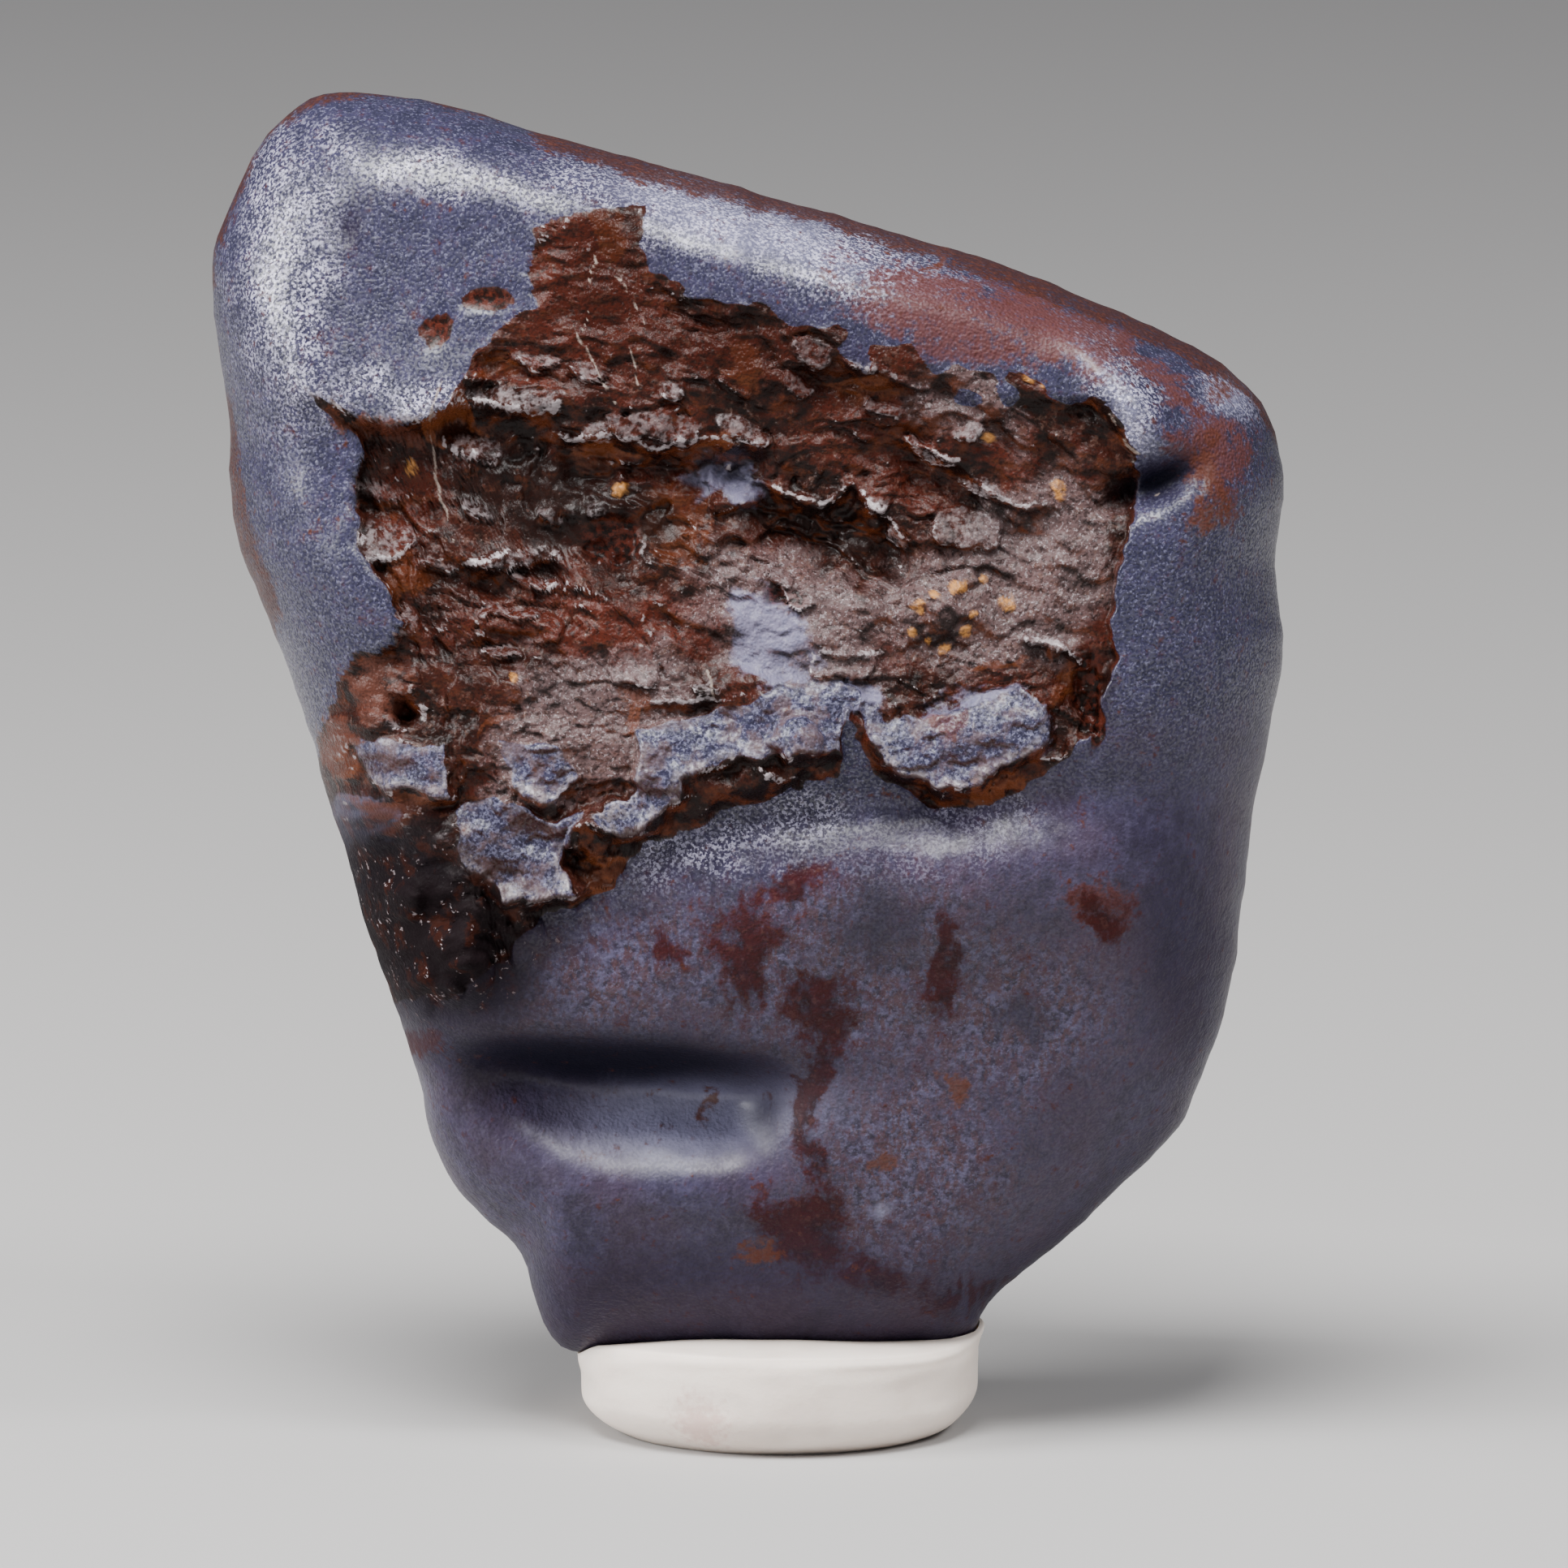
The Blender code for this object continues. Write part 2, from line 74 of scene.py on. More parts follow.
# the rough face: outlines and lines in mm, heights in mm
roughFace = {
    "field": [
        (-6.35, 4.55), (-5.3, 4.1), (-4.7, 4.1), (-4.2, 4.4), (-3.9, 5.15), (-3.0, 5.75), (-3.05, 6.85),
        (-2.3, 7.15), (-1.5, 7.1), (-1.45, 6.25), (-0.7, 5.9), (0.2, 5.75), (0.9, 5.4), (1.5, 5.05),
        (2.6, 5.0), (3.1, 4.55), (4.2, 4.45), (4.85, 4.5), (5.2, 4.1), (5.5, 3.4), (5.4, 2.6), (5.1, 1.4),
        (5.1, 0.4), (4.9, -0.2), (4.25, -0.75), (3.9, -1.1), (2.85, -1.35), (1.95, -1.05), (1.4, 0.0),
        (1.2, -0.85), (0.0, -1.3), (-0.9, -1.6), (-1.45, -1.85), (-2.1, -2.55), (-2.95, -2.85),
        (-3.35, -3.4), (-3.9, -3.7), (-4.4, -4.1), (-5.1, -4.1), (-5.9, -3.0), (-6.2, -1.4), (-6.2, -0.5),
        (-5.8, 0.4), (-5.55, 0.85), (-5.0, 0.95), (-4.9, 1.25), (-5.15, 1.75), (-5.5, 2.2), (-5.55, 3.1),
        (-5.45, 3.7),
    ],
    "swellings": [  # middle, half-widths, turn, height
        ((-4.6, 5.9), (1.5, 1.3), 0, -0.35),      # dish inside the blunt corner
        ((-0.6, 6.9), (2.6, 0.5), -16, 0.12),     # ridge along the worn top
        ((5.15, 4.65), (0.9, 0.24), -52, 0.45),   # ridge and dark notch by the right corner
        ((5.75, 3.25), (0.5, 0.2), 28, -0.5),
        ((2.6, -2.6), (2.3, 0.85), 4, 0.6),       # shoulder under the plates, groove over it, dent in it
        ((2.4, -1.35), (2.2, 0.35), 4, -0.3),
        ((1.85, -2.9), (0.35, 0.6), 0, -0.25),
        ((-1.9, -3.9), (1.8, 0.6), -3, 0.25),     # brow over the hollow, lip below it
        ((-0.8, -6.6), (1.4, 0.6), 4, 0.15),
    ],
    "hollow": {"brow": [(-4.1, -4.35), (-3.4, -4.35), (-2.2, -4.5), (-1.0, -4.65), (0.4, -4.7)],
               "depth": 1.2, "reach": 0.85, "climb": 1.6, "taper": 0.8},
    "ledges": [  # line from left to right, drop below it, width that it fades over, softness
        ([(-6.35, 4.56), (-6.0, 4.36), (-5.3, 4.12), (-4.7, 4.07), (-4.2, 4.32), (-2.7, 4.3)],
         0.35, 1.2, 0.22),
        ([(-2.6, 3.9), (-1.9, 3.86), (-1.2, 3.72), (-0.6, 3.8), (0.2, 3.82)], 0.3, 0.6, 0.1),
        ([(0.1, 3.25), (0.4, 3.07), (1.0, 2.96), (1.35, 3.13), (1.6, 2.9), (1.9, 2.78), (2.2, 2.4)],
         0.4, 0.7, 0.1),
        ([(0.6, 4.9), (1.5, 4.8), (2.2, 4.6), (2.5, 4.3)], 0.18, 0.5, 0.1),
        ([(2.1, 3.9), (2.9, 3.5), (3.4, 3.0), (4.2, 2.9)], 0.25, 0.7, 0.1),
        ([(-4.6, 2.1), (-3.8, 2.1), (-3.1, 2.2), (-2.6, 2.1)], 0.2, 0.5, 0.1),
        ([(-1.5, 0.12), (-0.9, 0.1), (-0.5, 0.25), (0.0, 0.2)], 0.15, 0.25, 0.1),
        ([(0.85, 0.72), (1.4, 0.85), (1.9, 0.85)], 0.1, 0.25, 0.1),
        ([(1.9, 0.1), (2.6, 0.15)], 0.1, 0.25, 0.1),
        ([(3.8, 1.0), (4.35, 0.92), (4.7, 0.6)], 0.15, 0.35, 0.1),
    ],
    "plates": [  # smooth islands: outline, height of the upper edge and of the lower edge
        ([(-5.6, -0.45), (-4.3, -0.4), (-4.25, -1.15), (-5.25, -1.2)], 0.05, 0.35),
        ([(-4.18, -1.39), (-3.77, -1.22), (-3.3, -1.22), (-2.84, -1.51), (-2.38, -1.39), (-2.44, -1.86),
          (-2.7, -2.1), (-2.38, -2.45), (-2.84, -2.6), (-3.5, -2.65), (-3.8, -2.4), (-4.06, -2.1)],
         0.05, 0.35),
        ([(-1.62, -0.29), (-0.87, -0.12), (-0.23, 0.12), (0.5, 0.5), (1.3, 0.45), (1.55, 0.2), (1.33, -0.23),
          (1.22, -0.58), (0.29, -0.56), (-0.29, -0.66), (-0.64, -0.78), (-0.93, -0.95), (-1.0, -1.3),
          (-1.45, -1.62), (-1.91, -1.72), (-2.3, -1.45), (-1.91, -1.25), (-1.62, -0.93)], 0.05, 0.35),
        ([(1.51, 0.17), (1.8, 0.14), (1.9, -0.1), (2.61, 0.05), (3.19, 0.06), (3.77, 0.35), (4.23, 0.12),
          (4.23, -0.23), (4.06, -0.56), (3.77, -0.68), (3.36, -0.85), (3.02, -1.05), (2.61, -1.05),
          (2.15, -0.92), (1.95, -0.72), (1.86, -0.46), (1.57, -0.12)], 0.05, 0.35),
        ([(-3.55, -0.35), (-2.75, -0.4), (-2.5, -0.9), (-2.8, -1.35), (-3.3, -1.05)], 0.0, 0.2),
    ],
    "flakes": [  # middle, half-widths, turn, paleness
        ((-3.02, 5.02), (0.35, 0.13), -8, 0.9), ((-2.3, 4.81), (0.2, 0.15), -35, 0.8),
        ((-3.19, 4.38), (0.52, 0.18), -3, 1.0), ((-4.06, 4.44), (0.3, 0.12), -10, 0.8),
        ((-1.13, 4.58), (0.17, 0.1), 0, 1.0), ((-1.33, 4.0), (0.72, 0.25), -8, 0.7),
        ((-2.2, 4.0), (0.2, 0.15), 0, 0.9), ((-3.85, 3.69), (0.35, 0.2), -5, 0.9),
        ((-3.83, 2.82), (0.24, 0.11), -5, 0.7), ((-2.84, 2.78), (0.26, 0.13), -15, 0.6),
        ((-2.15, 2.85), (0.12, 0.09), 0, 0.9), ((-3.31, 2.18), (0.6, 0.1), 8, 0.8),
        ((-4.41, 2.05), (0.32, 0.09), -5, 0.8), ((-3.13, 1.9), (0.4, 0.08), -15, 0.7),
        ((-5.1, 2.44), (0.42, 0.22), -10, 0.95), ((-5.16, 3.16), (0.35, 0.11), -5, 0.5),
        ((-0.12, 4.0), (0.38, 0.15), -20, 0.9), ((0.87, 5.1), (0.37, 0.19), -15, 0.7),
        ((1.59, 4.92), (0.15, 0.1), 0, 1.0), ((0.75, 4.64), (0.3, 0.11), -25, 0.7),
        ((1.91, 4.32), (0.3, 0.11), -30, 0.7), ((2.49, 3.69), (0.4, 0.11), -30, 0.9),
        ((3.02, 4.0), (0.24, 0.12), 10, 1.0), ((3.28, 3.17), (0.33, 0.11), -15, 1.0),
        ((3.07, 2.61), (0.5, 0.32), -10, 0.5), ((1.8, 2.96), (0.15, 0.11), 0, 0.8),
        ((2.1, 2.45), (0.22, 0.09), -50, 0.7), ((0.52, 1.74), (0.46, 0.13), -42, 0.7),
        ((-0.52, 0.38), (0.22, 0.13), 0, 0.9), ((-1.62, 0.64), (0.4, 0.28), 0, 0.3),
        ((-5.28, -0.12), (0.3, 0.1), -25, 1.0), ((-4.93, 1.3), (0.14, 0.2), -40, 1.0),
        ((-3.65, 1.45), (0.3, 0.08), 0, 0.8), ((-3.13, 1.4), (0.26, 0.07), -8, 0.7),
        ((-3.48, 0.87), (0.3, 0.08), -15, 0.7), ((4.18, 1.0), (0.35, 0.1), -5, 0.8),
        ((1.33, 0.7), (0.46, 0.15), 6, 0.3), ((-5.85, -0.55), (0.2, 0.12), 30, 0.7),
        ((-4.1, -2.2), (0.16, 0.09), 0, 1.0), ((-4.25, -1.8), (0.14, 0.08), 0, 0.9),
    ],
    "flakeHeight": 0.14,
    "lumps": [  # round lumps and drips: middle, radius, height
        ((-2.25, -1.77), 0.3, 0.25), ((0.65, -0.4), 0.34, 0.28), ((-4.0, -3.75), 0.36, 0.3),
        ((-4.75, -4.05), 0.3, 0.25), ((-3.2, -3.2), 0.3, 0.2), ((-4.3, -3.3), 0.35, 0.2),
        ((-5.3, -0.05), 0.35, 0.2), ((-5.75, -0.75), 0.22, 0.2), ((-4.9, -2.6), 0.3, 0.2),
        ((-3.9, -2.95), 0.3, 0.2), ((-5.3, -3.2), 0.25, 0.15), ((-4.3, -4.0), 0.2, 0.2),
    ],
    "granules": [  # bright crumbs: middle, radius
        ((2.9, 1.8), 0.14), ((3.6, 1.57), 0.14), ((2.38, 1.51), 0.11), ((3.02, 1.16), 0.1),
        ((2.75, 0.93), 0.09), ((2.29, 1.16), 0.07), ((3.15, 1.4), 0.07), ((2.61, 1.68), 0.07),
        ((3.3, 1.9), 0.07), ((2.5, 1.0), 0.06), ((4.35, 3.25), 0.1), ((4.37, 3.1), 0.09),
        ((3.95, 4.72), 0.09), ((4.12, 4.62), 0.07), ((-4.79, 3.48), 0.11), ((-1.86, 3.17), 0.13),
        ((3.35, 3.9), 0.09), ((-3.35, 0.48), 0.08),
    ],
    "pits": [  # small hollows: middle, half-widths, depth, 1 where brown shows in it
        ((-3.69, 5.86), (0.27, 0.14), 0.06, 1), ((-4.47, 5.45), (0.17, 0.2), 0.06, 1),
        ((-5.68, 6.79), (0.16, 0.13), 0.08, 0), ((-4.95, 0.05), (0.16, 0.14), 0.4, 1),
        ((4.85, 0.2), (0.16, 0.6), 0.15, 1),
        ((-1.9, 2.45), (0.35, 0.3), 0.2, 1), ((0.5, 1.62), (0.3, 0.1), 0.1, 1),
    ],
    "veins": [  # thin pale cracks
        [(-2.45, 7.0), (-2.2, 6.35), (-2.35, 5.4)], [(-1.97, 6.26), (-1.55, 5.65), (-1.4, 5.3)],
        [(-4.3, 4.85), (-4.55, 3.9), (-4.4, 3.3), (-4.2, 2.4)], [(-2.5, 5.5), (-2.2, 4.9), (-1.9, 4.4)],
        [(-1.75, 5.2), (-1.6, 4.6)], [(-0.6, 0.6), (-0.55, 0.2)],
        [(5.07, 4.28), (5.31, 3.79), (5.49, 3.63)], [(5.67, 3.11), (6.12, 3.27)],
    ],
    "veinReach": 0.12,
    "fieldSunk": 0.24,         # the field's floor below the enamel round it
    "fieldDip": ((-0.6, 2.7), (3.2, 1.3)),
    "wornEdge": ((2.7, 5.0), (1.5, 0.7), -12),  # where the field has no clear edge
    "rootStep": 0.25,          # how far the field stands over the root
    "quiet": [  # pale, smoothly worn ground
        ((-2.2, 6.1), (0.8, 0.9)), ((-1.9, -0.2), (1.3, 0.9)), ((0.9, 1.2), (1.2, 0.8)),
        ((4.2, 2.2), (1.0, 1.3)), ((2.4, 4.9), (1.3, 0.5)),
    ],
    "crust": [((2.0, -3.4), (2.0, 1.2)), ((-0.3, -3.2), (1.2, 1.0))],
}

# the back, which the photo doesn't show, in mm
backForm = {
    "keelMiddle": 0.3,
    "keelLean": 0.05,
    "keelWidth": 0.75,
    "keelHeight": 1.5,
    "ridgeSpacing": 1.55,
    "ridgeHeight": 0.12,
    "roundness": 0.8,
    "swellings": [((0.4, -3.6), (4.5, 0.8), 0.45), ((0.4, -7.2), (2.5, 1.0), -0.3)],
}


def ramp(low, high, x):
    t = np.clip((x - low) / (high - low), 0.0, 1.0)
    return t * t * (3.0 - 2.0 * t)


def turned(u, v, degrees):
    c, s = math.cos(math.radians(degrees)), math.sin(math.radians(degrees))
    return u * c + v * s, v * c - u * s


def swelling(u, v, middle, size, turn=0.0):
    along, across = turned(u - middle[0], v - middle[1], turn)
    return np.exp(-0.5 * ((along / size[0]) ** 2 + (across / size[1]) ** 2))


def spotted(u, v, spots):  # the strongest of several soft spots at each place
    return np.max([swelling(u, v, *spot) for spot in spots], 0)


def closedCurve(points, steps=16):
    p = np.array(points)
    before, after, beyond = np.roll(p, 1, 0), np.roll(p, -1, 0), np.roll(p, -2, 0)
    t = np.linspace(0.0, 1.0, steps, endpoint=False)[None, :, None]
    a, b, c, d = (q[:, None, :] for q in (before, p, after, beyond))
    curve = 0.5 * (2 * b + (c - a) * t + (2 * a - 5 * b + 4 * c - d) * t**2 + (3 * b - a - 3 * c + d) * t**3)
    return curve.reshape(-1, 2)


def hashed(x, y, seed):  # an even 0 to 1 for each whole x, y
    h = (x * 374761393 + y * 668265263 + seed * 974634777) & 0xFFFFFFFF
    h = ((h ^ (h >> 13)) * 1274126177) & 0xFFFFFFFF
    return (h ^ (h >> 16)) / 4294967296.0


def cells(u, v, size, turn):  # places in a turned grid of noise cells, and the cells' numbers
    x, y = turned(u, v, turn)
    sizeX, sizeY = size if isinstance(size, tuple) else (size, size)
    x, y = x / sizeX, y / sizeY
    return x, y, np.floor(x).astype(np.int64), np.floor(y).astype(np.int64)


def grain(u, v, size, seed, turn=0.0):  # gradient noise from about -1 to 1, size in mm
    x, y, cellX, cellY = cells(u, v, size, turn)
    x, y = x - cellX, y - cellY
    total = np.zeros(x.shape)
    for stepX in (0, 1):
        for stepY in (0, 1):
            angle = hashed(cellX + stepX, cellY + stepY, seed) * math.tau
            slope = np.cos(angle) * (x - stepX) + np.sin(angle) * (y - stepY)
            total += slope * ramp(1, 0, np.abs(x - stepX)) * ramp(1, 0, np.abs(y - stepY))
    return total * 1.5


def facets(u, v, size, seed, turn=0.0):  # broken ground: small faces, each tilted its own way
    x, y, cellX, cellY = cells(u, v, size, turn)
    near, far = np.full(x.shape, 9.0), np.full(x.shape, 9.0)
    height = np.zeros(x.shape)
    for stepX in (-1, 0, 1):
        for stepY in (-1, 0, 1):
            hereX, hereY = cellX + stepX, cellY + stepY
            offX = x - hereX - hashed(hereX, hereY, seed)
            offY = y - hereY - hashed(hereX, hereY, seed + 1)
            away = np.hypot(offX, offY)
            closer = away < near
            far = np.where(closer, near, np.minimum(far, away))
            face = hashed(hereX, hereY, seed + 2) - 0.5 + 1.4 * (hashed(hereX, hereY, seed + 3) - 0.5) * offX
            face -= (1.1 * hashed(hereX, hereY, seed + 4) - 0.1) * offY
            height = np.where(closer, face, height)
            near = np.minimum(near, away)
    return height * ramp(0.0, 0.15, far - near)


def ripple(u, v, size, seed, turn=0.0):  # the same soft folds that the plain solid has
    along, across = turned(u, v, turn)
    return np.array([noise.noise(Vector((a, b, seed))) for a, b in zip(along / size[0], across / size[1])])


def lineDistance(u, v, points):
    nearest = np.full(u.shape, 1e9)
    for (au, av), (bu, bv) in zip(points, points[1:]):
        du, dv = bu - au, bv - av
        t = np.clip(((u - au) * du + (v - av) * dv) / (du * du + dv * dv), 0.0, 1.0)
        nearest = np.minimum(nearest, np.hypot(u - au - t * du, v - av - t * dv))
    return nearest


def insideDepth(u, v, outline):  # distance to a closed outline, positive inside
    closed = [*outline, outline[0]]
    inside = np.zeros(u.shape, bool)
    for (au, av), (bu, bv) in zip(closed, closed[1:]):
        side = au + (v - av) * (bu - au) / (bv - av or 1e-9)
        inside ^= ((av > v) != (bv > v)) & (u < side)
    nearest = lineDistance(u, v, closed)
    return np.where(inside, nearest, -nearest)


def ragged(u, v, amount, seed):  # broken edges: the places wander at three sizes
    for size, share in ((0.7, 1.0), (0.26, 0.6), (0.12, 0.2)):
        u = u + amount * share * grain(u, v, size, seed)
        v = v + amount * share * grain(u, v, size, seed + 1)
        seed += 2
    return u, v


def shingles(u, v, period, seed, turn=-12.0):  # flakes that rise slowly downwards and end in a sharp lip
    along, across = turned(u, v, turn)
    phase = -across / period + 0.9 * grain(u, v, (period * 2.2, period * 1.3), seed, turn)
    phase = phase + 0.35 * grain(u, v, period * 0.6, seed + 1)
    rise = phase - np.floor(phase)
    patch = ramp(-0.25, 0.35, grain(u, v, (period * 2.5, period * 1.5), seed + 2, turn))
    return (rise**2 * (1 - ramp(0.88, 1.0, rise)) - 0.3) * patch


def rimDistance(angle):
    curve = closedCurve(toothForm["outline"])
    turns = np.arctan2(curve[:, 1], curve[:, 0])
    order = np.argsort(turns)
    far = np.interp(angle, turns[order], np.hypot(*curve[order].T), period=math.tau)
    edgeU, edgeV = far * np.cos(angle), far * np.sin(angle)
    return far + toothForm["edgeChips"] * (grain(edgeU, edgeV, 0.9, 71) + 0.6 * grain(edgeU, edgeV, 0.3, 72))


def edgeWidth(angle, column):
    stops = np.array(toothForm["edgeWidths"], float)
    widths = np.append(stops[:, column], stops[0, column])
    degrees = np.append(stops[:, 0], 360.0)
    where = np.degrees(angle) % 360.0
    i = np.clip(np.searchsorted(degrees, where, side="right") - 1, 0, len(stops) - 1)
    share = ramp(0.0, 1.0, (where - degrees[i]) / (degrees[i + 1] - degrees[i]))
    return widths[i] * (1 - share) + widths[i + 1] * share


def belowLine(u, v, points, taper):  # depth below a line, and 1 along it that fades at its ends
    line = np.array(points)
    along = ramp(line[0, 0] - taper, line[0, 0] + taper, u)
    along *= 1 - ramp(line[-1, 0] - taper, line[-1, 0] + taper, u)
    return np.interp(u, line[:, 0], line[:, 1]) - v, along


def ledge(u, v, points, drop, fade, soft):  # height of a step down, and its broken lip, painted bright as a highlight
    below, along = belowLine(u, v, points, 2.5 * soft)
    along *= 1 - ramp(0.3 * fade, 2.2 * fade, below)
    lip = along * np.exp(-(((below + 0.06) / 0.06) ** 2))
    lip *= ramp(-0.6, 0.15, grain(u, v, (0.5, 0.3), 141))
    return 0.03 * lip - drop * along * (1 - np.exp(-np.clip(below, 0, None) / soft)), 0.8 * lip


def hollow(u, v, brow, depth, reach, climb, taper):  # falls steeply below its brow, climbs back slowly
    below, along = belowLine(u, v, brow, taper)
    return -depth * along * ramp(0.0, reach, below) * ramp(reach + climb, 0.6 * reach, below)


def flakes(u, v):  # separate roof-like flakes: height, cover, paleness, lower edge painted bright as a highlight
    height, cover, tone, edge = (np.zeros(u.shape) for _ in range(4))
    for middle, size, turn, pale in roughFace["flakes"]:
        along, across = turned(u - middle[0], v - middle[1], turn)
        inside = 1 - np.abs(along / size[0]) ** 2.5 - np.abs(across / size[1]) ** 2.5
        tilt = 0.3 + 0.7 * ramp(0.9, -0.8, across / size[1])
        here = ramp(0.0, 0.25, inside)
        height = np.maximum(height, roughFace["flakeHeight"] * here * tilt)
        cover = np.maximum(cover, here)
        tone = np.maximum(tone, pale * here)
        edge = np.maximum(edge, pale * here * ramp(0.6, 0.25, inside) * (across < 0))
    return height, cover, tone, edge


def frontRelief(u, v):  # height of the rough face, and the marks that its colours need
    edgeU, edgeV = ragged(u, v, 0.13, 31)
    softU, softV = u + 0.1 * grain(u, v, 1.4, 36), v + 0.1 * grain(u, v, 1.4, 37)
    height = hollow(softU, softV, **roughFace["hollow"]) - 0.4 * (u / 7.0) ** 2
    for middle, size, turn, rise in roughFace["swellings"]:
        height += rise * swelling(u, v, middle, size, turn)
    # the field's floor, sunk below the enamel round it and standing over the root below it
    fieldDepth = insideDepth(edgeU, edgeV, roughFace["field"])
    lower = 1 - ramp(-1.6, 0.6, v + 0.12 * (u - 2.0))
    upper = ramp(3.6, 4.8, v)
    worn = swelling(u, v, *roughFace["wornEdge"])
    sunk = ramp(-0.03, 0.07 + 0.25 * lower + 0.3 * upper, fieldDepth)
    height -= roughFace["rootStep"] * lower * (1 - sunk)
    height -= sunk * ((roughFace["fieldSunk"] - 0.1 * upper) * (1 - lower) * (1 - 0.8 * worn))
    height -= sunk * 0.6 * swelling(u, v, *roughFace["fieldDip"])
    height += sunk * (0.2 * ripple(u, v, (1.5, 0.7), 3.0, -12) + 0.1 * ripple(u, v, (0.7, 0.45), 7.0, -12))
    lineU = u + 0.12 * grain(u, v, 0.7, 33)
    lineV = v + 0.12 * grain(u, v, 0.7, 34) + 0.05 * grain(u, v, 0.3, 35)
    lip = np.zeros(u.shape)
    for points, drop, fade, soft in roughFace["ledges"]:
        fall, edge = ledge(lineU, lineV, points, drop, fade, soft)
        height += fall
        lip = np.maximum(lip, edge)
    plate = np.zeros(u.shape)
    for points, upperEdge, lowerEdge in roughFace["plates"]:
        heights = np.array(points)[:, 1]
        down = np.clip((heights.max() - v) / (heights.max() - heights.min()), 0, 1)
        depth = insideDepth(edgeU, edgeV, points)
        height += ramp(-0.14, 0.05, depth) * (upperEdge + (lowerEdge - upperEdge) * down)
        plate = np.maximum(plate, ramp(-0.04, 0.06, depth))
        # a rim round each plate's edge, strongest at its lower edge, for a lip painted bright as a highlight
        edge = ramp(-0.02, 0.05, depth) * ramp(0.2, 0.06, depth)
        lip = np.maximum(lip, edge * (0.25 + 0.75 * ramp(0.3, 0.8, down)))
    height += plate * (0.05 * facets(edgeU, edgeV, (0.45, 0.3), 47, 10) + 0.03 * facets(u, v, 0.16, 48))
    dentine = ramp(-0.04, 0.03, fieldDepth + 0.5 * worn * grain(u, v, 0.35, 43))
    bare = dentine * (1 - plate)
    # flakes and crumbs at falling sizes, quieter where the ground is worn pale
    flakeHeight, cover, pale, edge = flakes(*ragged(u, v, 0.13, 61))
    height += flakeHeight * dentine
    lip = np.maximum(lip, edge * dentine)
    loud = bare * (1 - 0.6 * spotted(u, v, roughFace["quiet"])) * (1 - 0.7 * cover)
    height += loud * (0.16 * shingles(u, v, 0.75, 5) + 0.08 * shingles(u, v, 0.34, 15))
    broken = 0.1 * facets(edgeU, edgeV, (0.42, 0.32), 45, -10) + 0.035 * facets(u, v, (0.19, 0.16), 46)
    height += loud * broken
    height += bare * 0.014 * facets(u, v, 0.09, 55)
    for middle, radius, rise in roughFace["lumps"]:
        away = np.hypot(edgeU - middle[0], edgeV - middle[1]) / radius
        height += rise * np.sqrt(np.clip(1 - away**2, 0, 1))
    granule = np.zeros(u.shape)
    for middle, radius in roughFace["granules"]:
        away = np.hypot(u - middle[0], v - middle[1]) / (0.85 * radius * (1 + 0.7 * grain(u, v, 0.13, 65)))
        height += 0.4 * radius * np.sqrt(np.clip(1 - away**2, 0, 1))
        granule = np.maximum(granule, ramp(1.1, 0.8, away))
    pit, brown = np.zeros(u.shape), np.zeros(u.shape)
    for middle, size, depth, shows in roughFace["pits"]:
        here = swelling(edgeU, edgeV, middle, size)
        height -= depth * ramp(0.2, 0.8, here)
        pit = np.maximum(pit, ramp(0.3, 0.7, here))
        brown = np.maximum(brown, shows * ramp(0.3, 0.6, here))
    vein = np.zeros(u.shape)
    veinU, veinV = ragged(u, v, 0.07, 81)
    for points in roughFace["veins"]:
        away = lineDistance(veinU, veinV, points)
        vein = np.maximum(vein, np.clip(1 - away / roughFace["veinReach"], 0, 1))
    vein *= ramp(-0.6, -0.1, grain(u, v, 0.35, 83))
    height += 0.015 * ramp(0.5, 0.9, vein)
    height += 0.1 * ripple(u, v, (2.6, 2.6), 11.0) * lower
    height += (1 - dentine) * (0.012 * grain(u, v, 0.5, 91) + 0.006 * grain(u, v, 0.18, 92))
    crust = (1 - dentine) * spotted(u, v, roughFace["crust"]) * ramp(-0.5, 0.4, grain(u, v, 0.9, 94))
    height += crust * (0.08 * grain(u, v, (0.4, 0.55), 95) + 0.05 * facets(u, v, 0.2, 96))
    return height, {"dentine": np.maximum(dentine, brown), "plate": plate, "vein": vein, "pit": pit,
                    "flake": pale, "granule": granule, "lip": lip}


def fromKeel(u, v):  # way across the back from its slanting keel
    return u - (backForm["keelMiddle"] - backForm["keelLean"] * v)


def backRelief(u, v):
    across = fromKeel(u, v)
    crown = ramp(-8.0, -1.0, v)
    height = backForm["keelHeight"] * np.exp(-0.5 * (across / backForm["keelWidth"]) ** 2) * crown
    ridges = backForm["ridgeHeight"] * np.cos(across * math.tau / backForm["ridgeSpacing"])
    height += ridges * ramp(1.4, 2.4, np.abs(across)) * crown
    height -= backForm["roundness"] * (across / 7.0) ** 2
    for middle, size, rise in backForm["swellings"]:
        height += rise * swelling(u, v, middle, size)
    height += 0.08 * ripple(u, v, (1.6, 1.6), 23.0)
    height += 0.015 * grain(u, v, 0.6, 93)
    return height


def rimDepth(v):
    return -math.tan(math.radians(toothForm["viewDown"])) * v - 0.3 * (1 - (v / 9.0) ** 2)


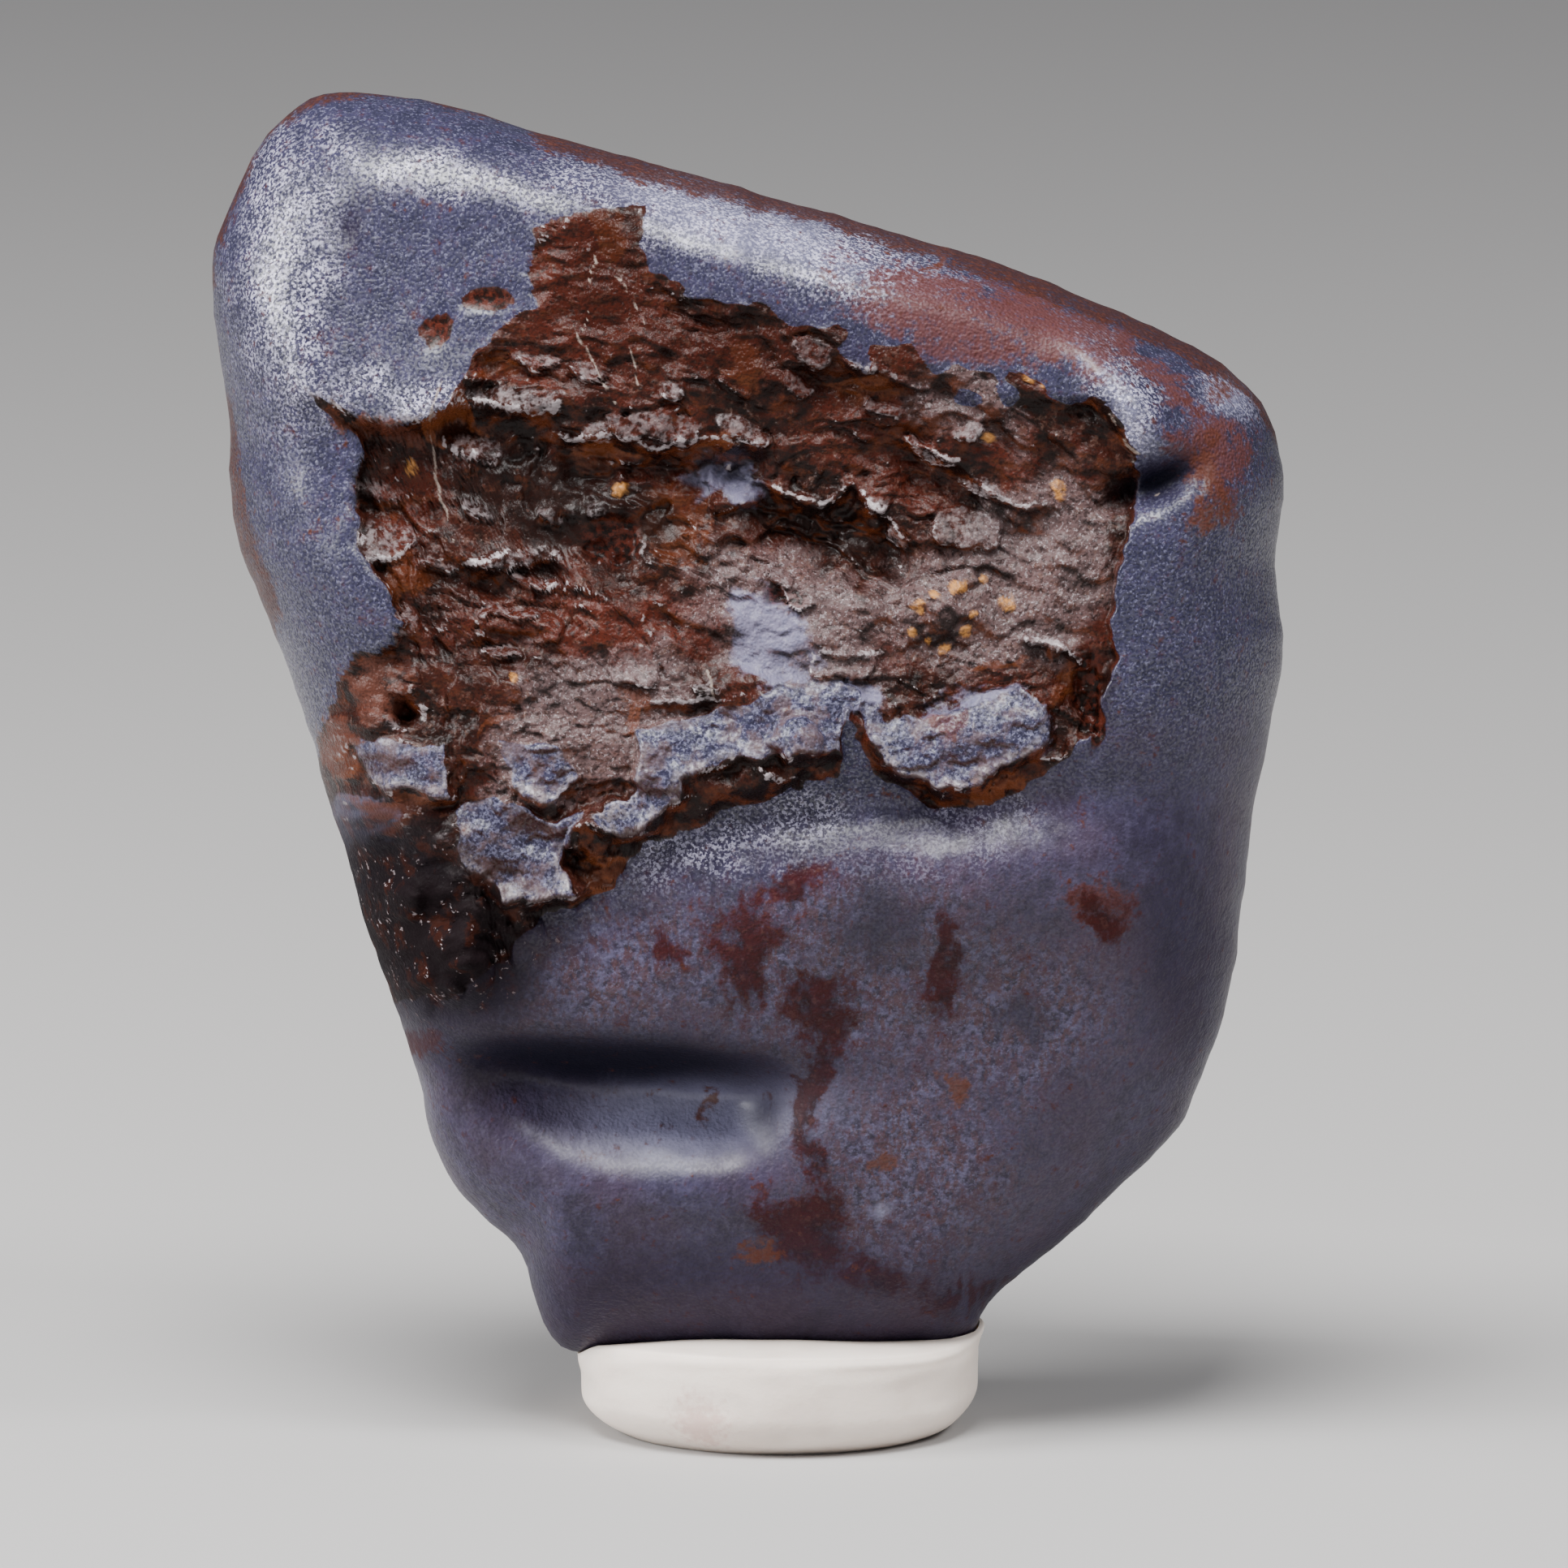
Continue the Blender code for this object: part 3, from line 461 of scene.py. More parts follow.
def flattened(cube):  # a cube's places moved onto the tooth: u, v, bend round the rim, side, way in
    ball = np.tan(np.array(cube) * math.pi / 4)
    ball /= np.linalg.norm(ball, axis=1)[:, None]
    angle = np.arctan2(ball[:, 2], ball[:, 0])
    polar = np.degrees(np.arccos(np.clip(-ball[:, 1], -1.0, 1.0)))
    front = polar <= toothForm["rimAngle"]
    faceEnd = np.where(front, toothForm["frontFaceEnd"], 180.0 - toothForm["backFaceStart"])
    fromPole = np.where(front, polar, 180.0 - polar)
    rimEnd = np.where(front, toothForm["rimAngle"], 180.0 - toothForm["rimAngle"])
    spreadHere = 1 - np.cos(np.radians(np.minimum(fromPole, faceEnd)))
    acrossFace = np.sqrt(spreadHere / (1 - np.cos(np.radians(faceEnd))))
    bend = np.clip((fromPole - faceEnd) / (rimEnd - faceEnd), 0, 1) * math.pi / 2
    edge = np.where(front, edgeWidth(angle, 1), edgeWidth(angle, 2))
    rim = rimDistance(angle)
    reach = acrossFace * (rim - edge) + edge * np.sin(bend)
    return reach * np.cos(angle), reach * np.sin(angle), bend, front, rim - reach


def upright():
    return Matrix.Rotation(math.radians(-toothForm["viewDown"]), 3, "X")


def standing(places, box):  # turns the view's frame upright and sets it where the CAD tooth stands
    world = places @ np.array(upright()).T
    low, high = world.min(0), world.max(0)
    target = np.array([(box[0][0] + box[1][0]) / 2, (box[0][1] + box[1][1]) / 2, 0.0]) / mm
    shift = np.array([target[0] - (low[0] + high[0]) / 2, target[1] - (low[1] + high[1]) / 2,
                      toothForm["floorBelowMiddle"]])
    return (world + shift) * mm, shift


def spreadOut(values, edges, rounds):  # evens values out along the mesh's edges
    count = len(values)
    degree = np.bincount(edges.ravel(), minlength=count)
    for _ in range(rounds):
        total = np.bincount(edges[:, 0], values[edges[:, 1]], count)
        total += np.bincount(edges[:, 1], values[edges[:, 0]], count)
        values = 0.5 * values + 0.5 * total / degree
    return values


def newObject(name, data):
    obj = bpy.data.objects.new(name, data)
    bpy.context.scene.collection.objects.link(obj)
    return obj


def meshObject(name, bm):
    mesh = bpy.data.meshes.new(name)
    bm.to_mesh(mesh)
    bm.free()
    return newObject(name, mesh)


def refined(bm, wanted):  # splits the faces that wanted picks from their places
    u, v, bend, front, _ = flattened([face.calc_center_median() for face in bm.faces])
    chosen = wanted(u, v, bend, front)
    edges = {edge for face, split in zip(bm.faces, chosen) if split for edge in face.edges}
    bmesh.ops.subdivide_edges(bm, edges=list(edges), cuts=1, use_grid_fill=True)


def inField(u, v, bend, front):
    return front & (insideDepth(u, v, roughFace["field"]) > -0.2) & (bend < 1.2)


def makeTooth():
    bm = bmesh.new()
    bmesh.ops.create_cube(bm, size=2.0)
    bmesh.ops.subdivide_edges(bm, edges=bm.edges[:], cuts=toothForm["cubeCuts"], use_grid_fill=True)
    refined(bm, lambda u, v, bend, front: front)
    refined(bm, inField)
    u, v, bend, front, inward = flattened([vert.co for vert in bm.verts])
    frontHeight, marks = frontRelief(u, v)
    frontThick = np.polynomial.Polynomial.fit(toothForm["thicknessAt"], toothForm["frontDepth"], 4)(v)
    backThick = np.polynomial.Polynomial.fit(toothForm["thicknessAt"], toothForm["backDepth"], 4)(v)
    w = rimDepth(v) + np.cos(bend) * np.where(front, -frontThick - frontHeight, backThick + backRelief(u, v))
    places, shift = standing(np.column_stack([u, w, v]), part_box("tooth"))
    for vert, place in zip(bm.verts, places):
        vert.co = place
    bmesh.ops.triangulate(bm, faces=[face for face in bm.faces if len(face.verts) > 4])
    crown = meshObject("tooth_crown", bm)
    crown.data.shade_smooth()
    addMarks(crown.data, u, v, front, bend, inward, np.where(front, frontHeight, 0.0), marks)
    return crown, shift


# spots of colour on the front, some of them painted highlight and painted shade: middle, half-widths, turn
toothSpots = {
    "pale": [((-2.0, -0.1), (1.2, 0.9)), ((0.6, 1.2), (1.3, 0.8), -30), ((3.2, 1.4), (1.4, 0.7)),
             ((4.2, 2.4), (0.9, 0.9)), ((3.1, 4.3), (0.8, 0.4), -20), ((-3.1, -0.8), (0.5, 0.5))],
    "red": [((-2.2, 6.0), (0.7, 1.1)), ((0.2, 5.0), (1.8, 0.5), -14), ((-3.5, 4.9), (0.6, 0.3), -30),
            ((2.6, 4.2), (1.4, 0.5), -20), ((-1.2, 1.2), (1.5, 0.4)), ((-5.0, 3.0), (0.5, 0.6))],
    "blue": [((0.25, 1.0), (0.45, 0.65)), ((1.3, 0.3), (0.4, 0.2)), ((-5.5, -1.5), (0.5, 0.3)),
             ((-0.3, 3.3), (0.5, 0.3), -10), ((3.4, -0.2), (0.7, 0.4))],
    "orange": [((-5.9, 4.12), (0.5, 0.14), -24), ((-5.0, 3.0), (0.35, 0.14)), ((0.0, 4.9), (0.25, 0.4)),
               ((-4.85, 1.95), (0.3, 0.35), -50), ((-3.6, 4.95), (0.35, 0.18), -30),
               ((-2.1, 3.62), (0.45, 0.13)), ((-0.5, 3.83), (0.25, 0.1)), ((1.5, 4.6), (0.6, 0.14), -10),
               ((-1.0, 2.6), (0.4, 0.5)), ((-3.6, -0.1), (0.2, 0.12)), ((-1.75, -0.05), (0.22, 0.2)),
               ((4.6, 0.3), (0.2, 0.3)), ((3.4, 0.7), (0.4, 0.08)), ((2.9, -0.1), (0.3, 0.1), 30),
               ((-1.95, 6.8), (0.25, 0.3)), ((-5.0, -1.35), (0.7, 0.13), -5), ((3.6, -1.1), (0.4, 0.14), 20),
               ((-4.2, 4.15), (0.4, 0.15), 10), ((-2.0, -2.3), (0.4, 0.3), -20), ((-5.8, -0.75), (0.2, 0.2))],
    "rust": [((-5.25, 0.35), (0.4, 0.4)), ((-5.95, -0.5), (0.25, 0.35)), ((6.4, 3.2), (0.25, 0.55), -10),
             ((2.6, 6.45), (0.09, 0.3)), ((2.8, -5.4), (0.14, 0.13)), ((1.9, -6.3), (0.22, 0.1), 30),
             ((-0.6, -5.6), (0.1, 0.1)), ((0.1, -7.65), (0.2, 0.15)), ((6.75, 4.55), (0.2, 0.2)),
             ((-5.75, 4.1), (0.45, 0.1), -24), ((-5.0, 3.88), (0.4, 0.1), -5)],
    "stain": [((1.0, -4.2), (0.35, 0.5)), ((0.87, -5.7), (0.2, 1.1)), ((0.7, -7.35), (0.6, 0.42), -20),
              ((2.1, -8.15), (0.8, 0.1), -18), ((3.2, -8.3), (0.6, 0.1), 18), ((-0.1, -3.4), (0.4, 0.65)),
              ((2.7, -3.6), (0.2, 0.6)), ((5.0, -3.0), (0.28, 0.22)), ((-1.2, -3.3), (0.3, 0.15)),
              ((0.7, -2.4), (0.35, 0.25))],
    "brown": [((2.6, 5.65), (1.2, 0.5), -20), ((4.3, 5.45), (1.1, 0.45), -27), ((6.5, 3.5), (0.5, 0.6)),
              ((5.6, 4.9), (0.8, 0.25), -35), ((5.0, -2.9), (0.4, 0.3)), ((-4.9, -4.6), (0.5, 0.2), -20)],
    # dark spots: painted shade in the dent under the plates, below ledges and in the notch by the right
    # corner; the large spot low on the left is the dark mass's own colour
    "dark": [((1.9, -2.9), (0.4, 0.6)), ((-4.5, -3.0), (1.3, 1.2), -30), ((0.9, 2.7), (0.9, 0.3), -12),
             ((-2.2, 2.7), (1.0, 0.5)), ((3.9, -4.4), (0.3, 0.3)), ((5.0, 0.2), (0.22, 0.6)),
             ((-3.2, 3.3), (1.1, 0.4)), ((5.7, 3.4), (0.4, 0.2), 28), ((-5.68, 6.79), (0.2, 0.17))],
    "wet": [((-4.5, -3.0), (1.6, 1.2), -30), ((0.2, -1.0), (1.2, 0.3), 12), ((3.0, -1.15), (1.2, 0.2), 5),
            ((-1.7, -2.1), (0.8, 0.4), 25)],
    # painted shadow in the hollow and the notch; the spot low on the left darkens the dark mass, near black
    # itself
    "shadow": [((-1.9, -4.9), (2.1, 0.32), -2), ((-5.0, -2.9), (1.5, 1.0), -35),
               ((5.72, 3.3), (0.42, 0.13), 28)],
    # painted highlight: bright specks on the left and top bands, the ridge, the right corner and the
    # shoulder, where the lamps glare
    "painted_glare_and_wear": [((-6.6, 6.3), (0.5, 1.6), 4), ((-4.7, 7.7), (1.2, 0.2), -12), ((-1.6, 7.2), (1.1, 0.35), -15),
              ((-0.1, 6.85), (1.5, 0.35), -16), ((1.4, 6.35), (1.2, 0.35), -17), ((6.8, 4.5), (0.25, 0.3)),
              ((5.1, 4.65), (0.8, 0.2), -56), ((-5.0, 4.45), (0.9, 0.2), -8), ((3.3, -1.7), (0.7, 0.4), -10),
              ((2.1, -2.2), (0.6, 0.4), 15), ((0.7, -1.7), (0.6, 0.4)), ((-0.7, -1.95), (0.8, 0.3), 12)],
    # painted highlight: lighter, smoother colour on the lip below the hollow, the top band, the ridge and the
    # right corner
    "painted_sheen_and_pale_tone": [((-0.9, -5.75), (1.4, 0.5), 6), ((-0.1, 6.85), (1.6, 0.28), -16),
              ((5.2, 4.5), (0.7, 0.14), -56), ((6.8, 4.5), (0.22, 0.2)), ((1.82, -7.04), (0.1, 0.1))],
    # painted shade at the root's bottom, the right side, the notch, under the plates and on the lip's right
    # end; darker tone of its own on the field's top, the tower, the dark mass and a dark spot
    "painted_shade_and_dark_tone": [((-0.3, -8.5), (3.6, 0.8)), ((6.4, -3.6), (0.7, 1.7), 12), ((0.6, 5.0), (2.2, 0.5), -14),
            ((-2.0, 6.1), (0.6, 1.1)), ((-4.8, -3.1), (1.3, 1.0), -35), ((-5.68, 6.79), (0.17, 0.15)),
            ((5.9, 3.3), (0.5, 0.25), 28), ((0.3, -5.8), (0.2, 0.35)), ((1.4, -1.85), (1.2, 0.2), 4)],
    "mottle": [((1.4, -3.6), (1.9, 1.3)), ((3.8, -4.3), (1.2, 1.0)), ((2.2, -6.6), (1.3, 1.3)),
               ((-1.8, -3.6), (1.5, 0.9), 12)],
}

surfaceMarks = (
    "dentine", "plate", "wall", "painted_tread_highlight", "painted_recess_shade", "vein", "pit", "flake", "granule", "lip", "rim", "root",
)


def fetched(items, key, width, kind=float):  # a mesh's numbers, one row an item
    values = np.empty(len(items) * width, kind)
    items.foreach_get(key, values)
    return values.reshape(-1, width)


def addMarks(mesh, u, v, front, bend, inward, height, marks):  # one number a vertex for each kind of surface and for each painted highlight and shade
    normals = fetched(mesh.vertices, "normal", 3) @ np.array(upright())
    edges = fetched(mesh.edges, "vertices", 2, np.int32)
    wrap = np.where(front, bend, math.pi - bend)  # grows from the front face over the rim to the back face
    onFace = ramp(2.4, 1.7, wrap + 0.35 * grain(u, v, 0.5, 109))
    dentine = marks["dentine"] * onFace
    broken = np.maximum(dentine, marks["plate"] * onFace)
    fine = spreadOut(height, edges, 6) - height
    broad = spreadOut(height, edges, 90) - height
    # down-facing sides of steps and plates: painted shade in dark brown, with the walls' own orange-brown
    marks["wall"] = ramp(0.1, 0.55, -normals[:, 2]) * broken
    # painted highlight: up-facing, raised treads of the broken ground are paled
    marks["painted_tread_highlight"] = ramp(0.4, 0.85, normals[:, 2]) * ramp(0.002, 0.02, -fine) * broken
    # painted highlight: raised edges join the lips, which are painted pale
    crest = ramp(0.014, 0.035, -fine) * ramp(-0.2, 0.4, grain(u, v, 0.5, 131)) * broken
    marks["lip"] = np.maximum(marks["lip"] * onFace, 0.7 * crest)
    # painted shade: recesses in the broad relief are darkened
    marks["painted_recess_shade"] = ramp(0.015, 0.16, broad) * onFace
    blots = ragged(u, v, 0.3, 101)
    soft = u + 0.2 * grain(u, v, 1.1, 107), v + 0.1 * grain(u, v, 1.1, 108)
    for name, spots in toothSpots.items():
        places = soft if name in ("shadow", "painted_sheen_and_pale_tone", "painted_shade_and_dark_tone") else blots
        marks[name] = ramp(0.05, 0.95, spotted(*places, spots)) * onFace
    # painted shade: the right part of the front's rounded edge is darkened
    shadedRimEdge = ramp(0.8, 1.3, bend) * ramp(1.0, 4.0, u) * front
    marks["painted_shade_and_dark_tone"] = np.maximum(marks["painted_shade_and_dark_tone"], 0.6 * shadedRimEdge)
    # the back: a worn pale keel and ridges, brown in the grooves beside them, stains low down
    across = np.abs(fromKeel(u, v))
    onBack = ramp(1.4, 1.0, bend) * ~front
    crown = onBack * ramp(-6.0, -2.0, v)
    ridges = ramp(0.75, 1.0, np.cos(across * math.tau / backForm["ridgeSpacing"]))
    crest = np.exp(-0.5 * (across / 0.3) ** 2) + 0.6 * ridges
    groove = np.exp(-0.5 * ((across - 1.2) / 0.4) ** 2)
    marks["painted_glare_and_wear"] += crown * crest * ramp(-0.4, 0.5, grain(u, v, (0.7, 1.3), 151))
    marks["brown"] += crown * groove * ramp(-0.1, 0.5, grain(u, v, 1.1, 152))
    marks["stain"] += onBack * ramp(0.2, 0.6, grain(u, v, (0.9, 1.4), 153)) * ramp(0.0, -3.0, v)
    marks["painted_sheen_and_pale_tone"] += 0.6 * onBack * ramp(-0.1, 0.6, grain(u, v, 2.2, 154))
    wander = 0.12 * grain(u, v, 0.6, 111) + 0.08 * grain(u, v, 0.2, 112)
    top = ramp(-3.6, -2.2, u) * ramp(3.5, 5.0, v)
    left = ramp(-4.5, -6.0, u) * ramp(0.5, 2.0, v)
    left *= 0.07 + 0.35 * swelling(u, v, (-7.2, 2.3), (1.5, 0.9))
    reach = np.maximum(0.3 * top, left) + 0.05 * ramp(6.5, 8.0, v)
    marks["rim"] = ramp(0.1, -0.1, inward - reach - wander * (reach > 0.02)) * (reach > 0.02)
    overEdge = ramp(0.8, 1.4, bend + 0.25 * grain(u, v, 0.6, 155)) * ramp(2.0, 4.5, v)
    marks["rim"] = np.where(front, marks["rim"], overEdge)
    marks["root"] = ramp(-0.9, -3.2, v + 0.4 * grain(u, v, 1.2, 121) - 0.25 * u)
    marks["dentine"] = dentine
    for name in (*surfaceMarks, *toothSpots):
        layer = mesh.attributes.new(name, "FLOAT", "POINT")
        layer.data.foreach_set("value", np.clip(marks[name], 0, 1).astype(np.float32))


def plug(node, values):  # sets a node's inputs, by a link where the value is a wire
    for key, value in values.items():
        if isinstance(value, Wire):
            value.tree.links.new(value.socket, node.inputs[key])
        else:
            node.inputs[key].default_value = value


# shader expressions: a wire is a socket that can stand in sums and products
class Wire:
    def __init__(self, tree, socket=None):
        self.tree = tree
        self.socket = socket

    def make(self, kind, settings, inputs, output=0):
        node = self.tree.nodes.new(kind)
        for name, value in settings.items():
            setattr(node, name, value)
        plug(node, inputs)
        return Wire(self.tree, node.outputs[output])

    def maths(self, operation, first, second):
        return self.make("ShaderNodeMath", {"operation": operation}, {0: first, 1: second})

    def __add__(self, other):
        return self.maths("ADD", self, other)

    def __radd__(self, other):
        return self.maths("ADD", other, self)

    def __sub__(self, other):
        return self.maths("SUBTRACT", self, other)

    def __rsub__(self, other):
        return self.maths("SUBTRACT", other, self)

    def __mul__(self, other):
        return self.maths("MULTIPLY", self, other)

    def ramp(self, low, high):  # 0 below low, 1 above high
        return self.make("ShaderNodeMapRange", {"interpolation_type": "SMOOTHSTEP"},
                         {"Value": self, "From Min": low, "From Max": high})

    def mark(self, name):
        return self.make("ShaderNodeAttribute", {"attribute_name": name}, {}, 2)

    def vector(self, operation, inputs, output=0):
        return self.make("ShaderNodeVectorMath", {"operation": operation}, inputs, output)

    def layered(self, look, ground, *coats):  # each coat covers what lies under it by its factor
        colour = ground if isinstance(ground, Wire) else (*look[ground], 1.0)
        for factor, coat in coats:
            over = coat if isinstance(coat, Wire) else (*look[coat], 1.0)
            colour = self.make("ShaderNodeMix", {"data_type": "RGBA"}, {0: factor, 6: colour, 7: over}, 2)
        return colour

    def noise(self, size, detail=2.0, rough=0.5, shape=None):
        place = self.vector("MULTIPLY", {0: self, 1: shape}) if shape else self
        inputs = {"Vector": place, "Scale": 1 / size, "Detail": detail, "Roughness": rough}
        return self.make("ShaderNodeTexNoise", {}, inputs)

    def bump(self, strength, depth):  # depth in mm
        return self.make("ShaderNodeBump", {}, {"Strength": strength, "Distance": depth * mm, "Height": self})


def newMaterial(name):
    made = bpy.data.materials.new(name)
    made.use_nodes = True
    tree = made.node_tree
    place = Wire(tree).make("ShaderNodeTexCoord", {}, {}, 3)
    place = place.vector("SCALE", {0: place, "Scale": 1 / mm})
    return made, tree.nodes["Principled BSDF"], place


toothLook = {
    "slateDark": (0.015, 0.0145, 0.03),
    "slate": (0.034, 0.031, 0.066),
    "slateLight": (0.15, 0.148, 0.23),
    "painted_glare_and_wear": (0.48, 0.46, 0.6),
    "rootDark": (0.017, 0.013, 0.027),
    "root": (0.04, 0.034, 0.07),
    "rootPurple": (0.04, 0.021, 0.036),
    "rootLight": (0.085, 0.076, 0.135),
    "shadow": (0.003, 0.003, 0.008),
    "dentineDark": (0.006, 0.0025, 0.002),
    "dentine": (0.032, 0.008, 0.005),
    "dentineRed": (0.058, 0.011, 0.006),
    "dentineTan": (0.09, 0.048, 0.036),
    "wall": (0.03, 0.006, 0.002),
    "painted_lit_amber": (0.13, 0.036, 0.012),
    "orange": (0.085, 0.02, 0.006),
    "pale": (0.095, 0.062, 0.062),
    "flake": (0.28, 0.24, 0.25),
    "granule": (0.36, 0.16, 0.045),
    "rust": (0.07, 0.022, 0.014),
    "stain": (0.034, 0.0055, 0.0048),
    "stainDark": (0.013, 0.0035, 0.0045),
    "umber": (0.06, 0.022, 0.018),
    "brown": (0.075, 0.026, 0.024),
    "rimBrown": (0.036, 0.013, 0.011),
    "vein": (0.26, 0.21, 0.18),
    "polishRoughness": 0.36,
    "polishIndex": 1.6,
}


def toothMaterial():
    made, shader, place = newMaterial("fossil_enamel_and_dentine")
    look = toothLook
    marks = {name: place.mark(name) for name in (*surfaceMarks, *toothSpots)}
    broad = place.noise(1.3, 3.0)
    middle = place.noise(0.35, 4.0, 0.6)
    small = place.noise(0.11, 3.0, 0.6)
    speckle = place.noise(0.05, 2.0, 0.65)
    other = place.noise(0.075, 2.0, 0.65)
    streaks = place.noise(0.16, 4.0, 0.7, (1.3, 1.0, 0.7))

    def worn(name, wander=0.8, noisy=small):  # a mark whose edge is eaten by noise
        return (marks[name] + (noisy - 0.5) * wander).ramp(0.3, 0.75)

    blots = (middle - 0.5) * 1.6 + (small - 0.5) * 1.8 + (other - 0.5) * 1.2

    def faded(name):  # a mark that thins out in blots and crumbs
        return (marks[name] * 1.2 + blots).ramp(0.35, 1.2)

    # grey-violet enamel with pale and dark specks, darker and more purple on the root
    crumbs = place.layered(
        look, "rootDark",
        (small.ramp(0.36, 0.64), "rootLight"),
        (streaks.ramp(0.44, 0.6) * 0.75, "umber"),
        (middle.ramp(0.4, 0.65) * 0.5, "rootPurple"),
        (speckle.ramp(0.55, 0.65) * 0.3, "slateLight"),
    )
    root = place.layered(
        look, "rootDark",
        (middle.ramp(0.25, 0.72), "root"),
        (broad.ramp(0.35, 0.7) * 0.55, "rootPurple"),
        (small.ramp(0.42, 0.7) * 0.4, "rootDark"),
        (streaks.ramp(0.46, 0.72) * 0.3, "rootLight"),
        (marks["mottle"] * 0.85, crumbs),
    )
    # painted highlight specks on the front; on the back the same specks are the keel's pale wear
    glareAndWearSpecks = speckle.ramp(0.47, 0.58) * marks["painted_glare_and_wear"] * (0.3 + middle.ramp(0.3, 0.65) * 0.6)
    browned = faded("brown")
    stain = marks["stain"] * 1.5 + (middle - 0.5) * 2.2 + (small - 0.5) * 2.4 + (streaks - 0.5) * 1.6
    stain = stain.ramp(0.1, 1.3)
    stained = place.layered(
        look, "stainDark",
        (middle.ramp(0.3, 0.6), "stain"),
        (small.ramp(0.55, 0.68) * 0.6, "umber"),
    )
    enamel = place.layered(
        look, "slateDark",
        (0.2 + middle.ramp(0.35, 0.65) * 0.6, "slate"),
        (speckle.ramp(0.53, 0.66) * 0.45, "slateLight"),
        (other.ramp(0.52, 0.62) * 0.6, "slateDark"),
        (marks["root"], root),
        # painted highlights: lighter colour, then bright specks with dark specks between them
        (marks["painted_sheen_and_pale_tone"] * (0.45 + middle * 0.7), "slateLight"),
        (glareAndWearSpecks * (1 - marks["root"] * 0.9), "painted_glare_and_wear"),
        (small.ramp(0.55, 0.66) * marks["painted_glare_and_wear"] * 0.45, "slateDark"),
        (browned * 0.9, "brown"),
        (stain * 0.9, stained),
        # painted shade and darker tone, dark spots, painted shadow in the hollow, darker pits
        (marks["painted_shade_and_dark_tone"] * 0.6, "rootDark"),
        (marks["dark"] * 0.85, "rootDark"),
        (marks["shadow"] * 0.95, "shadow"),
        (marks["pit"] * 0.6, "rootDark"),
    )
    # the islands of enamel in the field, worn pale, their lips painted bright as a highlight and their
    # down-facing sides painted dark brown as shade
    plate = place.layered(
        look, enamel,
        (speckle.ramp(0.45, 0.6) * 0.4, "slateLight"),
        (middle.ramp(0.48, 0.62) * 0.6, "pale"),
        (marks["lip"] * small.ramp(0.4, 0.58) * 0.6, "flake"),
        (worn("orange") * 0.5, "orange"),
        (marks["wall"] * 0.9, "wall"),
    )
    # brown dentine: dark ground, red and tan crumbs, pale worn ground, pale flakes, orange walls
    shown = 1 - marks["dark"] * 0.9
    pale = worn("pale", 1.0, middle)
    # pale lips along the ledges, flakes and plates: painted highlights
    lips = (marks["lip"] + (small - 0.5) * 2.4).ramp(0.42, 0.8) * shown
    pits = place.layered(look, "dentineDark", (small.ramp(0.4, 0.6), "dentineRed"))
    # down-facing walls: dark brown as painted shade with the walls' own orange, brightened to amber as
    # painted light
    walls = place.layered(
        look, "dentineDark",
        (middle.ramp(0.45, 0.65), "orange"),
        (worn("orange") * (1 - marks["dark"]), "painted_lit_amber"),
    )
    dentine = place.layered(
        look, "dentineDark",
        (middle.ramp(0.3, 0.62), "dentine"),
        (broad.ramp(0.45, 0.6) * 0.5, "dentineRed"),
        (worn("red", 0.8, middle) * 0.75, "dentineRed"),
        (pale * 0.75, "pale"),
        (small.ramp(0.54, 0.68) * 0.5, "dentineTan"),
        (speckle.ramp(0.56, 0.66) * pale * 0.5, "flake"),
        (other.ramp(0.53, 0.62) * 0.6, "dentineDark"),
        (worn("blue") * 0.7, "slateLight"),
        (worn("orange", 1.6) * 0.5, "orange"),
        # painted shade in the recesses
        (marks["painted_recess_shade"] * 0.6, "dentineDark"),
        (worn("dark", 0.8, middle) * 0.8, "dentineDark"),
        (marks["wall"] * 0.85, walls),
        (marks["pit"] * 0.9, pits),
        (marks["flake"] * small.ramp(0.4, 0.6) * 0.35, "flake"),
        # painted highlight on the treads; painted shade and darker tone where dimmed; painted highlight on
        # the lips
        (marks["painted_tread_highlight"] * small.ramp(0.48, 0.6) * shown * 0.15, "flake"),
        (marks["painted_shade_and_dark_tone"] * 0.5, "dentineDark"),
        (lips * (0.8 - marks["painted_shade_and_dark_tone"] * 0.6), "flake"),
        (marks["shadow"] * 0.85, "shadow"),
        (marks["granule"] * (0.3 + small.ramp(0.35, 0.55) * 0.6), "granule"),
        ((marks["plate"] + (small - 0.5) * 0.5).ramp(0.35, 0.65), plate),
    )
    # the dark glossy mass low on the left: brown-black with red glimpses and white specks painted as glints
    mass = marks["wet"] * marks["dark"]
    paintedGlintSpecks = mass * small.ramp(0.61, 0.67) * middle.ramp(0.47, 0.6)
    edging = place.layered(look, "rimBrown", (small.ramp(0.5, 0.66), "rust"))
    colour = place.layered(
        look, enamel,
        # painted highlight along the lips over the enamel
        (marks["lip"] * small.ramp(0.38, 0.56) * 0.8, "flake"),
        ((marks["dentine"] + (small - 0.5) * 0.5).ramp(0.35, 0.6), dentine),
        (mass * 0.7, "dentineDark"),
        (mass * middle.ramp(0.52, 0.66) * 0.6, "wall"),
        (paintedGlintSpecks, "flake"),
        ((marks["vein"] + (speckle - 0.5) * 0.3).ramp(0.76, 0.95) * 0.7, "vein"),
        (faded("rim") * 0.9, edging),
        (faded("rust") * 0.9, "rust"),
    )
    rough = 0.2 + middle * 0.08 + marks["root"] * 0.12 + browned * 0.15 + marks["rim"] * 0.1
